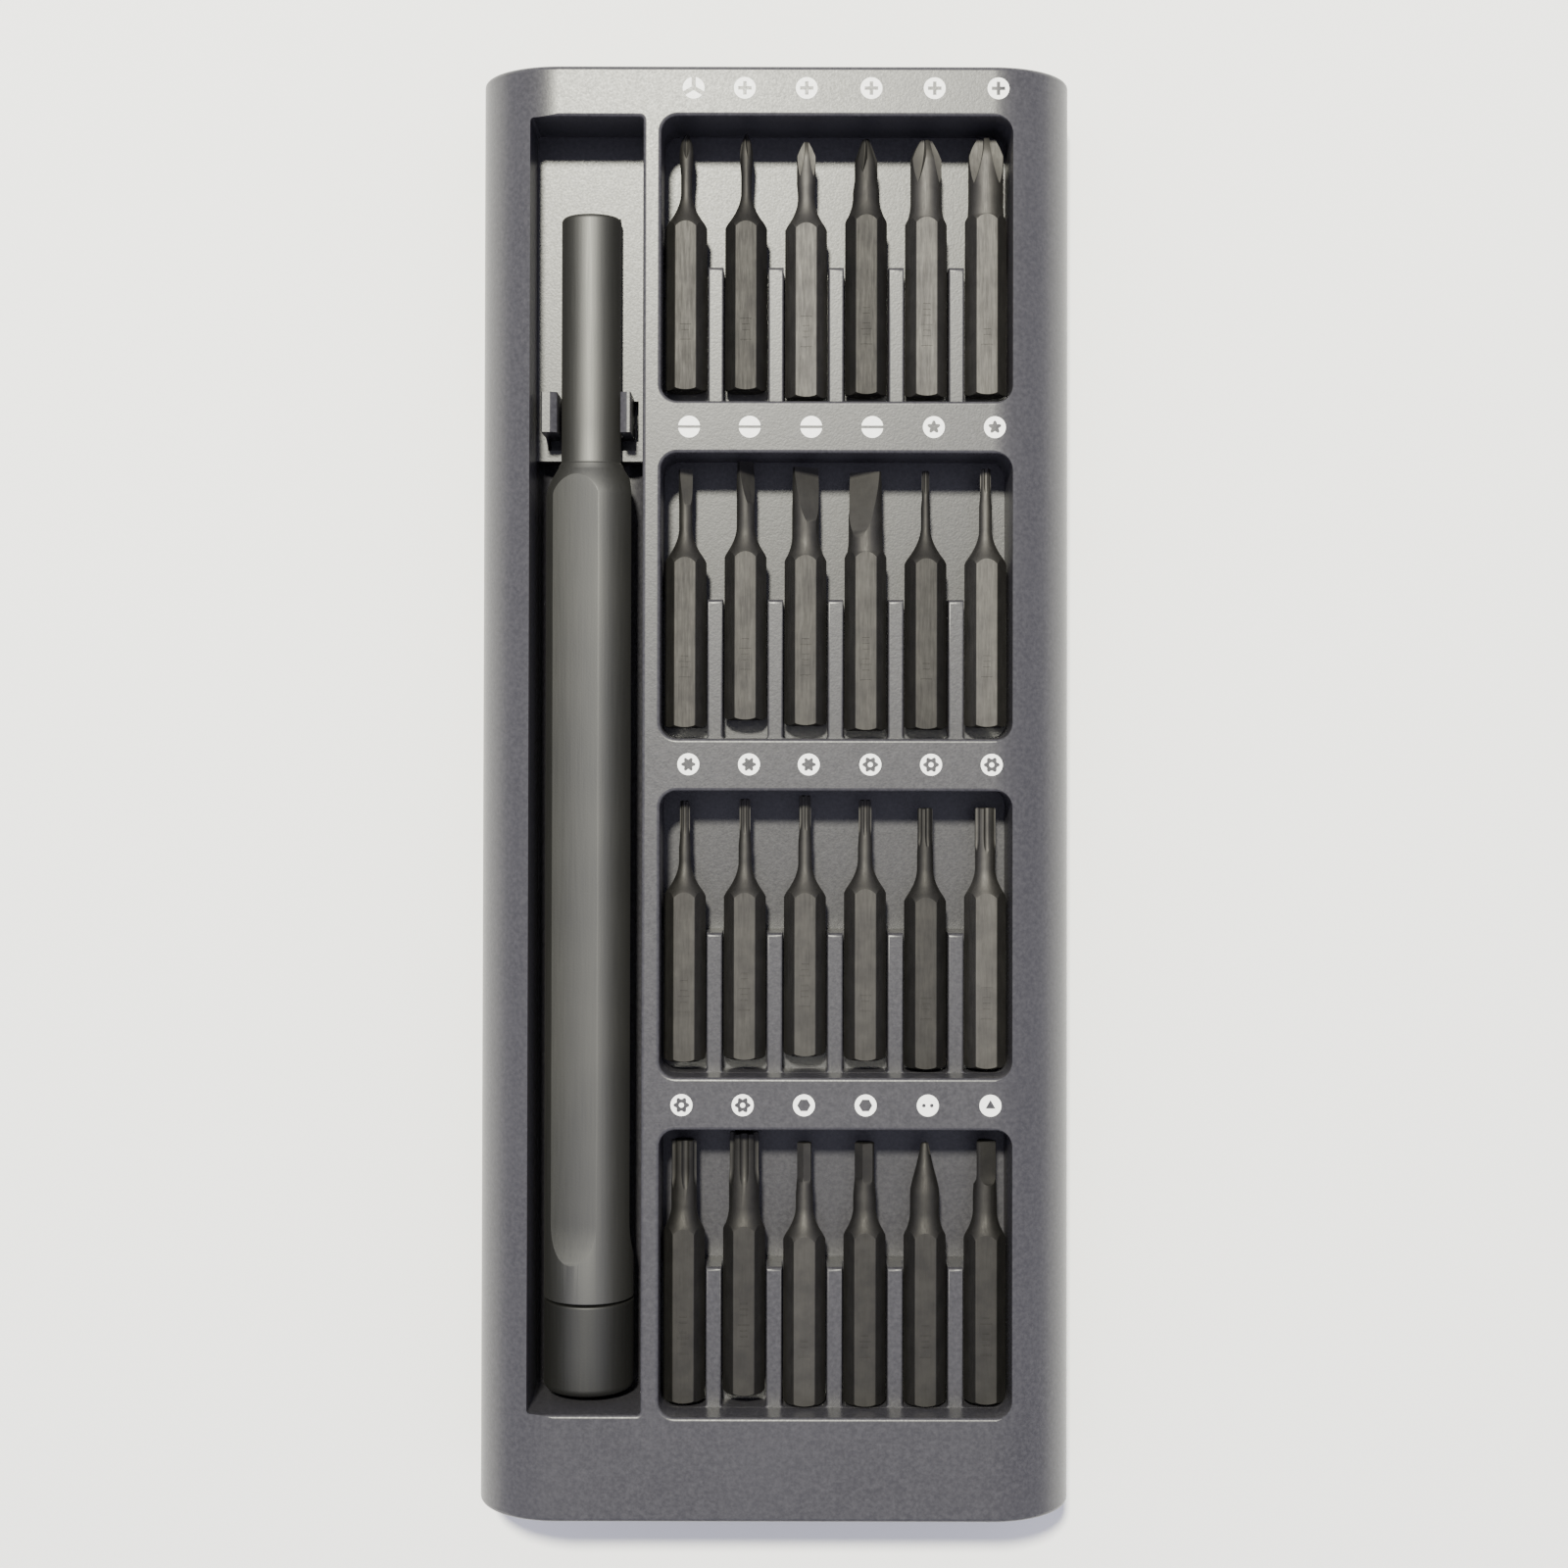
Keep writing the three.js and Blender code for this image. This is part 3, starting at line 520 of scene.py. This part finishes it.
# ---- Screws and printed icons ----
def base_screw(index, px, py):
    profile = [(0, 0.2), (1.7, 0.2), (1.85, 0.34), (1.85, 1.35)]
    profile += [(0.8, 1.35), (0.8, 6.45), (0.6, 6.6), (0, 6.6)]
    screw = turned("screw", profile, 48)
    screw.data.transform(Matrix(((1, 0, 0, px), (0, 0, 1, py), (0, 1, 0, 0), (0, 0, 0, 1))))
    cross = [block("arm", px - a, px + a, py - b, py + b, 0, 0.8) for a, b in ((0.95, 0.2), (0.2, 0.95))]
    for arm in cross:
        combine(screw, [arm])
    tidy_mesh(screw)
    smooth(screw, 35)
    finish_piece(screw, "tray", SCREW, [f"base_screw_{index}"])
    screw.name = f"screw_{index}"


for number, (sx, sy) in enumerate(screw_places(), 1):
    base_screw(number, sx, sy)


def star(lobes, outer, inner, turn=math.pi / 2):
    """A rounded star outline."""
    points = []
    steps = 10
    for i in range(lobes * steps):
        a = 2 * math.pi * i / (lobes * steps)
        r = (outer + inner) / 2 + (outer - inner) / 2 * math.cos(lobes * a)
        points.append((r * math.cos(a + turn), r * math.sin(a + turn)))
    return points


def bar(length, width, turn):
    c, s = math.cos(turn), math.sin(turn)
    u, v = length / 2, width / 2
    return [(x * c - y * s, x * s + y * c) for x, y in ((-u, -v), (u, -v), (u, v), (-u, v))]


def icon_shapes(kind):
    """Outlines cut from a white disc, and outlines put back inside them."""
    if kind == "wings":
        turns = [math.pi / 2 + k * 2 * math.pi / 3 for k in range(3)]
        return [[(x + 0.5 * math.cos(t), y + 0.5 * math.sin(t)) for x, y in bar(1.3, 0.46, t)]
                for t in turns], []
    if kind == "cross":
        return [bar(1.45, 0.38, 0.0), bar(1.45, 0.38, math.pi / 2)], []
    if kind == "slot":
        return [bar(3.0, 0.3, 0.0)], []
    if kind == "lobe5":
        return [star(5, 0.72, 0.42)], []
    if kind == "lobe6":
        return [star(6, 0.78, 0.5, 0.0)], []
    if kind == "pin":
        return [star(6, 0.86, 0.6, 0.0)], [ngon(20, 0.27)]
    if kind == "hex":
        return [ngon(6, 0.72)], []
    if kind == "dots":
        return [[(x + side, y) for x, y in ngon(16, 0.2)] for side in (-0.42, 0.42)], []
    return [ngon(3, 0.62, math.pi / 2)], []


ICONS = [
    ["wings"] + ["cross"] * 5,
    ["slot"] * 4 + ["lobe5"] * 2,
    ["lobe6"] * 3 + ["pin"] * 3,
    ["pin"] * 2 + ["hex"] * 2 + ["dots", "triangle"],
]
ICON_RADIUS, ICON_RISE = 1.17, 0.02
ICON_Y = (75.6, 39.15, 2.94, -33.5)
# The print doesn't sit exactly over the bits.
ICON_X = (
    (-8.9, -3.4, 3.25, 10.2, 17.0, 23.85),
    (-9.3, -2.8, 3.8, 10.35, 16.95, 23.5),
    (-9.3, -2.8, 3.6, 10.2, 16.7, 23.2),
    (-9.95, -3.4, 3.15, 9.75, 16.4, 23.1),
)


def icon(row, column):
    x, y = ICON_X[row][column], ICON_Y[row]
    low, high = HEIGHT - 0.05, HEIGHT + ICON_RISE
    disc = prism_z("icon", [(x + a, y + b) for a, b in ngon(64, ICON_RADIUS)], low, high)
    holes, islands = icon_shapes(ICONS[row][column])
    for outline in holes:
        combine(disc, [prism_z("hole", [(x + a, y + b) for a, b in outline], low - 1, high + 1)])
    for outline in islands:
        combine(disc, [prism_z("island", [(x + a, y + b) for a, b in outline], low, high)], "UNION")
    tidy_mesh(disc, 0.0005)
    smooth(disc, 30)
    disc.name = f"icon_{row + 1}_{column + 1}"
    finish_piece(disc, "tray", PRINT)


for r in range(ROWS):
    for c in range(COLUMNS):
        icon(r, c)


# ---- Driver ----
NOSE, NECK_END, SHOULDER_END, TAIL = 63.15, 35.85, 32.35, -55.65
NECK_R, BODY_R, FACET = 3.3, 4.95, 4.15
FACET_TILT, FACET_END, RUN_OUT = 20.0, -47.1, 4.4
CAP_TOP, CAP_END = -55.9, -65.75


def arc(centre_r, centre_y, radius, from_deg, to_deg, steps=8):
    """(radius, y) pairs round a quarter or less; 0 degrees points outwards and 90 towards the nose."""
    angles = [math.radians(from_deg + (to_deg - from_deg) * i / steps) for i in range(steps + 1)]
    return [(centre_r + radius * math.cos(a), centre_y + radius * math.sin(a)) for a in angles]


def facet_cutter(turn_deg):
    """A flat along the barrel that runs out in an arc before the tail."""
    depth = BODY_R - FACET
    radius = (RUN_OUT ** 2 + depth ** 2) / (2 * depth)
    sweep = math.asin(RUN_OUT / radius)
    end = FACET_END - RUN_OUT - 1
    outline = [(NOSE, FACET), (NOSE, 12.0), (end, 12.0), (end, BODY_R + 0.9)]
    for i in range(13):
        a = -math.pi / 2 - sweep * 1.15 + sweep * 1.15 * i / 12
        outline.append((FACET_END + radius * math.cos(a), FACET + radius + radius * math.sin(a)))
    rings = [[(x, y, z) for y, z in outline] for x in (-12.0, 12.0)]
    cutter = loft("facet", rings)
    cutter.data.transform(Matrix.Rotation(math.radians(turn_deg), 4, "Y"))
    return cutter


def place_on_axis(obj):
    obj.data.transform(Matrix.Translation((AXIS_X, 0, AXIS_Z)))
    return obj


def barrel():
    profile = [(0, 47.0), (2.05, 47.0), (2.05, 51.1), (2.63, 51.1), (2.63, NOSE - 0.06)]
    profile += arc(2.69, NOSE - 0.06, 0.06, 180, 90, 3)
    profile += arc(NECK_R - 0.58, NOSE - 0.58, 0.58, 90, 0, 8)
    profile += [(NECK_R, 50.0), (NECK_R, 40.0)]
    profile += [(NECK_R, NECK_END + 0.3), (NECK_R + 0.05, NECK_END + 0.08)]
    profile.append((NECK_R + 0.2, NECK_END - 0.05))
    for i in range(2, 15):
        t = i / 14
        r = NECK_R + (BODY_R - NECK_R) * (1 - (1 - t) ** 1.5)
        profile.append((r, NECK_END - (NECK_END - SHOULDER_END) * t))
    profile += [(BODY_R, 10.0), (BODY_R, -20.0), (BODY_R, TAIL + 0.14)]
    profile += arc(BODY_R - 0.12, TAIL + 0.12, 0.12, 0, -90, 4)
    profile += [(3.02, TAIL), (3.02, TAIL + 3.2), (0, TAIL + 3.2)]
    body = turned("barrel", profile, 128)
    for k in range(3):
        combine(body, [facet_cutter(-FACET_TILT + 120 * k)])
    tidy_mesh(body)
    soften(body, 0.05, 22, 2)
    return smooth(place_on_axis(body), 20)


def swivel_cap():
    profile = [(0, CAP_END), (BODY_R - 1.6, CAP_END)]
    profile += arc(BODY_R - 0.9, CAP_END + 0.9, 0.9, -90, 0, 8)
    profile += [(BODY_R, -61.0), (BODY_R, CAP_TOP - 0.2)]
    profile += arc(BODY_R - 0.18, CAP_TOP - 0.18, 0.18, 0, 90, 4)
    profile += [(1.5, CAP_TOP), (1.5, CAP_TOP - 5.0), (0, CAP_TOP - 5.0)]
    return smooth(place_on_axis(turned("cap", profile, 128)), 30)


def nose_socket():
    profile = [(0, 51.2), (2.6, 51.2), (2.6, NOSE - 0.3), (2.46, NOSE - 0.2), (0, NOSE - 0.2)]
    sleeve = turned("socket", profile, 96)
    hexagon = prism_y("hexagon", ngon(6, 4.06 / math.sqrt(3)), 40, 70)
    flare = turned("flare", [(0, NOSE - 0.5), (2.0, NOSE - 0.5), (2.6, NOSE + 0.2), (0, NOSE + 0.2)], 48)
    combine(sleeve, [hexagon])
    combine(sleeve, [flare])
    tidy_mesh(sleeve)
    return smooth(place_on_axis(sleeve), 28)


finish_piece(barrel(), "driver", GRIP, ["handle_barrel"])
finish_piece(nose_socket(), "driver", BRIGHT, ["bit_socket"])
finish_piece(swivel_cap(), "cap", CAP_GRIP, ["swivel_cap"])


# ---- Bits ----
BIT_LENGTH, ACROSS_FLATS = 28.3, 4.0
CORNER_R = ACROSS_FLATS / math.sqrt(3)
# For each cross tip's half width: the length of its point, and the radius that it ends in.
CROSS_POINTS = {1.03: (1.6, 0.28), 1.25: (2.4, 0.34), 1.70: (2.1, 0.66), 1.92: (1.9, 1.02)}
TICK_START, TICK_WIDTH, TICK_LOW, TICK_HIGH = 5.4, 0.16, 1.95, 2.3


def rounded_ngon(count, r, corner, steps=3):
    """A polygon with corners at radius r, each a little rounded; the first corner is on the +x side."""
    points = []
    step = 2 * math.pi / count
    inset = corner / math.cos(step / 2)
    for i in range(count):
        a = i * step
        centre = ((r - inset) * math.cos(a), (r - inset) * math.sin(a))
        for j in range(steps + 1):
            b = a - step / 2 + step * j / steps
            points.append((centre[0] + corner * math.cos(b), centre[1] + corner * math.sin(b)))
    return points


def joined(name, objects):
    """Several closed meshes that don't touch, as one object."""
    bm = bmesh.new()
    for obj in objects:
        bm.from_mesh(obj.data)
    mesh = bpy.data.meshes.new(name)
    bm.to_mesh(mesh)
    bm.free()
    for obj in objects:
        old = obj.data
        bpy.data.objects.remove(obj)
        bpy.data.meshes.remove(old)
    whole = bpy.data.objects.new(name, mesh)
    bpy.context.scene.collection.objects.link(whole)
    return whole


def flute_cutter(section, root, reach, steps=12):
    """A groove that follows the tip. root(s) is how far its bottom is from the axis at s from the
    tip's end, and section is its outline as (sideways, outwards) pairs from the bottom."""
    rings = []
    for i in range(steps + 1):
        s = -0.4 + (reach + 0.4) * i / steps
        a = root(max(s, 0.0))
        rings.append([(u, BIT_LENGTH - s, a + v) for u, v in section])
    return loft("flute", rings)


def vee(half_angle_deg, fillet, out=3.4):
    """The outline of a V groove with a rounded bottom."""
    t = math.radians(half_angle_deg)
    points = []
    for i in range(5):
        a = -(math.pi / 2 - t) + (math.pi - 2 * t) * i / 4
        points.append((fillet * math.sin(a), fillet / math.sin(t) * 0.55 - fillet * math.cos(a)))
    lift = min(v for u, v in points)
    points = [(u, v - lift) for u, v in points]
    side = [(points[-1][0] + out * math.tan(t), out + points[-1][1])]
    return points + side + [(-side[0][0], side[0][1])]


def scoop(radius, out=3.0):
    """The outline of a round-bottomed groove."""
    angles = [math.radians(d) for d in range(-90, 91, 18)]
    points = [(radius * math.sin(a), radius - radius * math.cos(a)) for a in angles]
    return points + [(radius * 1.05, out), (-radius * 1.05, out)]


def flutes(count, make, turn_deg):
    made = []
    for k in range(count):
        cutter = make()
        cutter.data.transform(Matrix.Rotation(math.radians(turn_deg + 360.0 * k / count), 4, "Y"))
        made.append(cutter)
    return joined("flutes", made)


def rising(bottom, top, straight, reach, power=2.0):
    """A groove's bottom that stays level and then runs out through the surface."""
    def root(s):
        t = max(0.0, (s - straight) / (reach - straight))
        return bottom + (top - bottom) * min(1.15, t) ** power
    return root


def turned_profile(kind, tip_r, shank_r, hex_end):
    """The bit's outline before its flats and flutes are cut, as (radius, y) pairs from its flat end."""
    flare = 1.3 + 1.5 * (2.0 - shank_r)
    points = [(0, 0), (1.55, 0.0)]
    points += [(1.55 + 0.9 * math.sin(a), 0.75 - 0.75 * math.cos(a)) for a in (0.25, 0.55, 0.85, 1.15, 1.4)]
    points += [(2.46, 0.9), (2.46, hex_end - 1.0), (CORNER_R, hex_end - 0.62), (2.15, hex_end - 0.26)]
    steps = 12
    along = [i / steps for i in range(steps + 1)]
    points += [(shank_r + (2.0 - shank_r) * (1 - t) ** 1.9, hex_end + flare * t) for t in along]
    end = BIT_LENGTH
    neck_y = hex_end + flare
    if kind == "bulb":
        shape = ((4.6, shank_r), (3.8, (shank_r + tip_r) / 2), (3.0, tip_r * 0.99), (1.9, tip_r),
                 (1.1, tip_r * 0.84), (0.4, tip_r * 0.52), (0.0, tip_r * 0.2))
    elif kind == "cross":
        full, point = CROSS_POINTS[tip_r]
        shape = ((5.9, shank_r), (5.2, (shank_r + tip_r) / 2), (4.6, tip_r), (full + 0.35, tip_r),
                 (full, tip_r * 0.99), (full * 0.5, tip_r * 0.53 + point * 0.5),
                 (0.12, point + 0.06), (0.0, point - 0.05))
    elif kind == "fork":
        shape = ((5.6, shank_r), (5.0, shank_r * 0.97), (4.2, shank_r * 0.86), (2.4, shank_r * 0.56),
                 (1.0, shank_r * 0.36), (0.12, shank_r * 0.27), (0.0, shank_r * 0.22))
    elif kind == "slot":
        shape = ((3.2 + tip_r, shank_r), (2.4 + tip_r, tip_r), (0.03, tip_r), (0.0, tip_r - 0.03))
    else:
        lead = {"lobe6": 4.6, "lobe5": 3.6, "hex": 5.2, "triangle": 5.2}[kind]
        shape = ((lead + 0.5, shank_r), (lead - 0.6, tip_r), (0.1, tip_r), (0.0, tip_r - 0.1))
    shape = [(s, r) for s, r in shape if end - s > neck_y + 0.05 or s < 3.1]
    points += [(r, end - s) for s, r in shape]
    return points + [(0, end)]


def tip_cutter(kind, tip_r, shank_r, turn):
    """What is cut from the turned tip: one cutter, or a list of them."""
    top = max(tip_r, shank_r) + 0.12
    if kind == "bulb":
        count = 3 if turn == 0 else 4
        angle = 54 if count == 3 else 42
        root = rising(0.2 * tip_r, top, 0.3, 3.2, 1.4)
        return flutes(count, lambda: flute_cutter(vee(angle, 0.05), root, 3.3), turn)
    if kind == "cross":
        reach = 2.9 + 1.25 * tip_r
        root = rising(0.22 * tip_r, top, 0.5, reach, 1.7)
        return flutes(4, lambda: flute_cutter(vee(42.5, 0.06 * tip_r), root, reach, 16), turn + 45)
    if kind in ("lobe6", "lobe5"):
        count, depth = (6, 0.28) if kind == "lobe6" else (5, 0.34)
        reach = (3.6 + 1.5 * tip_r) if kind == "lobe6" else 3.4
        curve = 0.34 * tip_r if kind == "lobe6" else 0.4 * tip_r
        root = rising((1 - depth) * tip_r, top, reach - 1.5 - 0.6 * tip_r, reach, 1.8)
        return flutes(count, lambda: flute_cutter(scoop(curve), root, reach), turn)
    if kind in ("hex", "triangle"):
        count, share = (6, math.cos(math.pi / 6)) if kind == "hex" else (3, 0.66)
        root = rising(share * tip_r, top, 3.8, 5.0, 1.8)
        wide = [(-4.0, 0.0), (4.0, 0.0), (4.0, 3.0), (-4.0, 3.0)]
        turns = [turn + 360.0 * k / count for k in range(count)]
        return [flutes(1, lambda: flute_cutter(wide, root, 5.0), each) for each in turns]
    if kind == "slot":
        half = 0.1 + 0.075 * tip_r
        length = 3.5 + 2.35 * tip_r
        wide = [(-4.0, 0.0), (4.0, 0.0), (4.0, 4.0), (-4.0, 4.0)]

        def root(s):
            return half + (top - half) * min(1.1, s / length) ** 1.25
        return [flutes(1, lambda: flute_cutter(wide, root, length), turn + side) for side in (0, 180)]
    gap = block("gap", -0.24, 0.24, BIT_LENGTH - 1.3, BIT_LENGTH + 1, -3, 3)
    gap.data.transform(Matrix.Rotation(math.radians(turn), 4, "Y"))
    return gap


def engraved_ticks(number):
    """A row of plain shallow ticks across the upper flat."""
    ticks = []
    y = TICK_START
    for i in range(3 + number % 5):
        half = 0.62 if i in (0, 2 + number % 3) else 0.4
        ticks.append(block("tick", -half, half, y, y + TICK_WIDTH, TICK_LOW, TICK_HIGH))
        y += 0.62 if i % 3 else 1.05
    return joined("ticks", ticks)


# Node, tip, tip's half width, shank's radius, end of the flat, distance from the pocket's end,
# turn of the tip in degrees, finish.
BITS = [
    ("bit_three_wing_1", "bulb", 0.74, 0.60, 18.5, 1.58, 0, "mid"),
    ("bit_cross_000", "bulb", 0.69, 0.57, 18.5, 1.58, 20, "dark"),
    ("bit_cross_00", "cross", 1.03, 0.92, 19.1, 0.79, 4, "bright"),
    ("bit_cross_0", "cross", 1.25, 1.45, 19.7, 1.10, 25, "dark"),
    ("bit_cross_1", "cross", 1.70, 1.70, 19.6, 0.94, 12, "bright"),
    ("bit_cross_2", "cross", 1.92, 1.92, 19.8, 1.10, 0, "bright"),
    ("bit_slot_1_5", "slot", 0.76, 0.72, 18.6, 1.13, 22, "mid"),
    ("bit_slot_2_0", "slot", 1.0, 0.98, 18.4, 1.97, 38, "mid"),
    ("bit_slot_3_0", "slot", 1.45, 1.48, 18.6, 1.37, 25, "mid"),
    ("bit_slot_4_0", "slot", 1.78, 1.86, 19.5, 0.86, -26, "mid"),
    ("bit_five_lobe_2", "lobe5", 0.40, 0.50, 18.65, 0.98, 0, "dark"),
    ("bit_five_lobe_5", "lobe5", 0.58, 0.70, 18.4, 1.22, 0, "bright"),
    ("bit_six_lobe_2", "lobe6", 0.54, 0.64, 18.45, 1.14, 0, "mid"),
    ("bit_six_lobe_3", "lobe6", 0.60, 0.70, 18.2, 1.36, 0, "mid"),
    ("bit_six_lobe_4", "lobe6", 0.64, 0.74, 17.8, 1.75, 10, "mid"),
    ("bit_six_lobe_5", "lobe6", 0.70, 0.78, 18.7, 1.29, 0, "mid"),
    ("bit_six_lobe_6", "lobe6", 0.82, 0.88, 18.7, 0.39, 15, "dark"),
    ("bit_six_lobe_8", "lobe6", 1.12, 1.10, 19.1, 0.45, 5, "bright"),
    ("bit_six_lobe_10", "lobe6", 1.34, 1.38, 18.9, 0.51, 8, "dark"),
    ("bit_six_lobe_15", "lobe6", 1.58, 1.66, 18.4, 1.33, 0, "dark"),
    ("bit_hex_1_5", "hex", 0.86, 0.94, 18.4, 0.20, 22, "mid"),
    ("bit_hex_2_0", "hex", 1.14, 1.24, 18.8, 0.20, 18, "dark"),
    ("bit_fork_2_6", "fork", 1.6, 1.60, 18.8, 0.20, 70, "dark"),
    ("bit_triangle_2_3", "triangle", 1.22, 1.30, 18.35, 0.45, 20, "dark"),
]
STEELS = {
    "bright": steel_material("bit_steel_bright", 0.066, 0.60, (3.0, 0.25, 3.0), 0.95),
    "mid": steel_material("bit_steel_mid", 0.049, 0.61, (3.0, 0.25, 3.0), 0.95),
    "dark": steel_material("bit_steel_dark", 0.038, 0.62, (3.0, 0.25, 3.0), 0.95),
}


def make_bit(index, spec):
    node, kind, tip_r, shank_r, hex_end, offset, turn, tone = spec
    blank = prism_y("bar", rounded_ngon(6, CORNER_R + 0.01, 0.16), -0.5, BIT_LENGTH + 0.5)
    combine(blank, [turned("outline", turned_profile(kind, tip_r, shank_r, hex_end), 64)], "INTERSECT")
    cutter = tip_cutter(kind, tip_r, shank_r, turn)
    for each in cutter if isinstance(cutter, list) else [cutter]:
        combine(blank, [each])
    combine(blank, [engraved_ticks(index)])
    tidy_mesh(blank, 0.001)
    smooth(blank, 26)
    row, column = divmod(index, COLUMNS)
    blank.data.transform(Matrix.Translation((column_x(column), pocket_edges(row)[2] + offset, BIT_Z)))
    blank.name = node.replace("bit_", "tool_")
    finish_piece(blank, node + "_body", STEELS[tone], [node])


for number, each_bit in enumerate(BITS):
    make_bit(number, each_bit)

# The pieces inside the set are the frame's own meshes.
INSIDE = {
    "socket_magnet": MAGNET, "magnet_bar_1": MAGNET, "magnet_bar_2": MAGNET,
    "magnet_bar_3": MAGNET, "magnet_bar_4": MAGNET, "cap_pin": BRIGHT,
    "bearing_outer_race": BRIGHT, "bearing_inner_race": BRIGHT, "bearing_ball_ring": BRIGHT,
}
for node, material in INSIDE.items():
    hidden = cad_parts[node]
    hidden.data.materials.clear()
    hidden.data.materials.append(material)


# ---- Stage ----
def floor_material():
    n = Nodes("pale_floor")
    tone = n.noise(6, 2.0, 0.5)
    base = n.mix(n.ramp(tone, 0.0, 1.0), (0.95, 0.95, 0.95), (0.97, 0.97, 0.97))
    n.set(Base_Color=base, Roughness=0.7)
    return n.material


FLOOR_HALF, FLOOR_LEVEL = 6, -0.0002  # metres
floor_corners = [(x * FLOOR_HALF, y * FLOOR_HALF, FLOOR_LEVEL)
                 for x, y in ((-1, -1), (1, -1), (1, 1), (-1, 1))]
floor = add_object("floor", floor_corners, [(0, 1, 2, 3)])
floor.data.materials.append(floor_material())

lamp_data = bpy.data.lights.new("key", "AREA")
lamp_data.shape = "DISK"
lamp_data.size = 0.09
lamp_data.energy = 29.0
lamp_data.color = (1.0, 0.985, 0.82)
lamp = bpy.data.objects.new("key", lamp_data)
lamp.location = (-0.087, 0.38, 0.95)
lamp.rotation_euler = (Vector((0, 0, 0)) - lamp.location).to_track_quat("-Z", "Y").to_euler()
bpy.context.scene.collection.objects.link(lamp)

world = bpy.data.worlds.new("studio")
bpy.context.scene.world = world
world.use_nodes = True
background = world.node_tree.nodes["Background"]
background.inputs["Color"].default_value = (0.80, 0.80, 0.97, 1.0)
background.inputs["Strength"].default_value = 1.05

camera_data = bpy.data.cameras.new("camera")
camera_data.sensor_width = 36.0
camera_data.lens = 54.22
camera_data.shift_x = 0.0056
camera_data.shift_y = -0.0570
camera_data.clip_start = 0.01
camera = bpy.data.objects.new("camera", camera_data)
camera.location = (0.0, 0.00766, 0.271)
camera.rotation_euler = (0.0109, 0.0, 0.002)
bpy.context.scene.collection.objects.link(camera)
bpy.context.scene.camera = camera
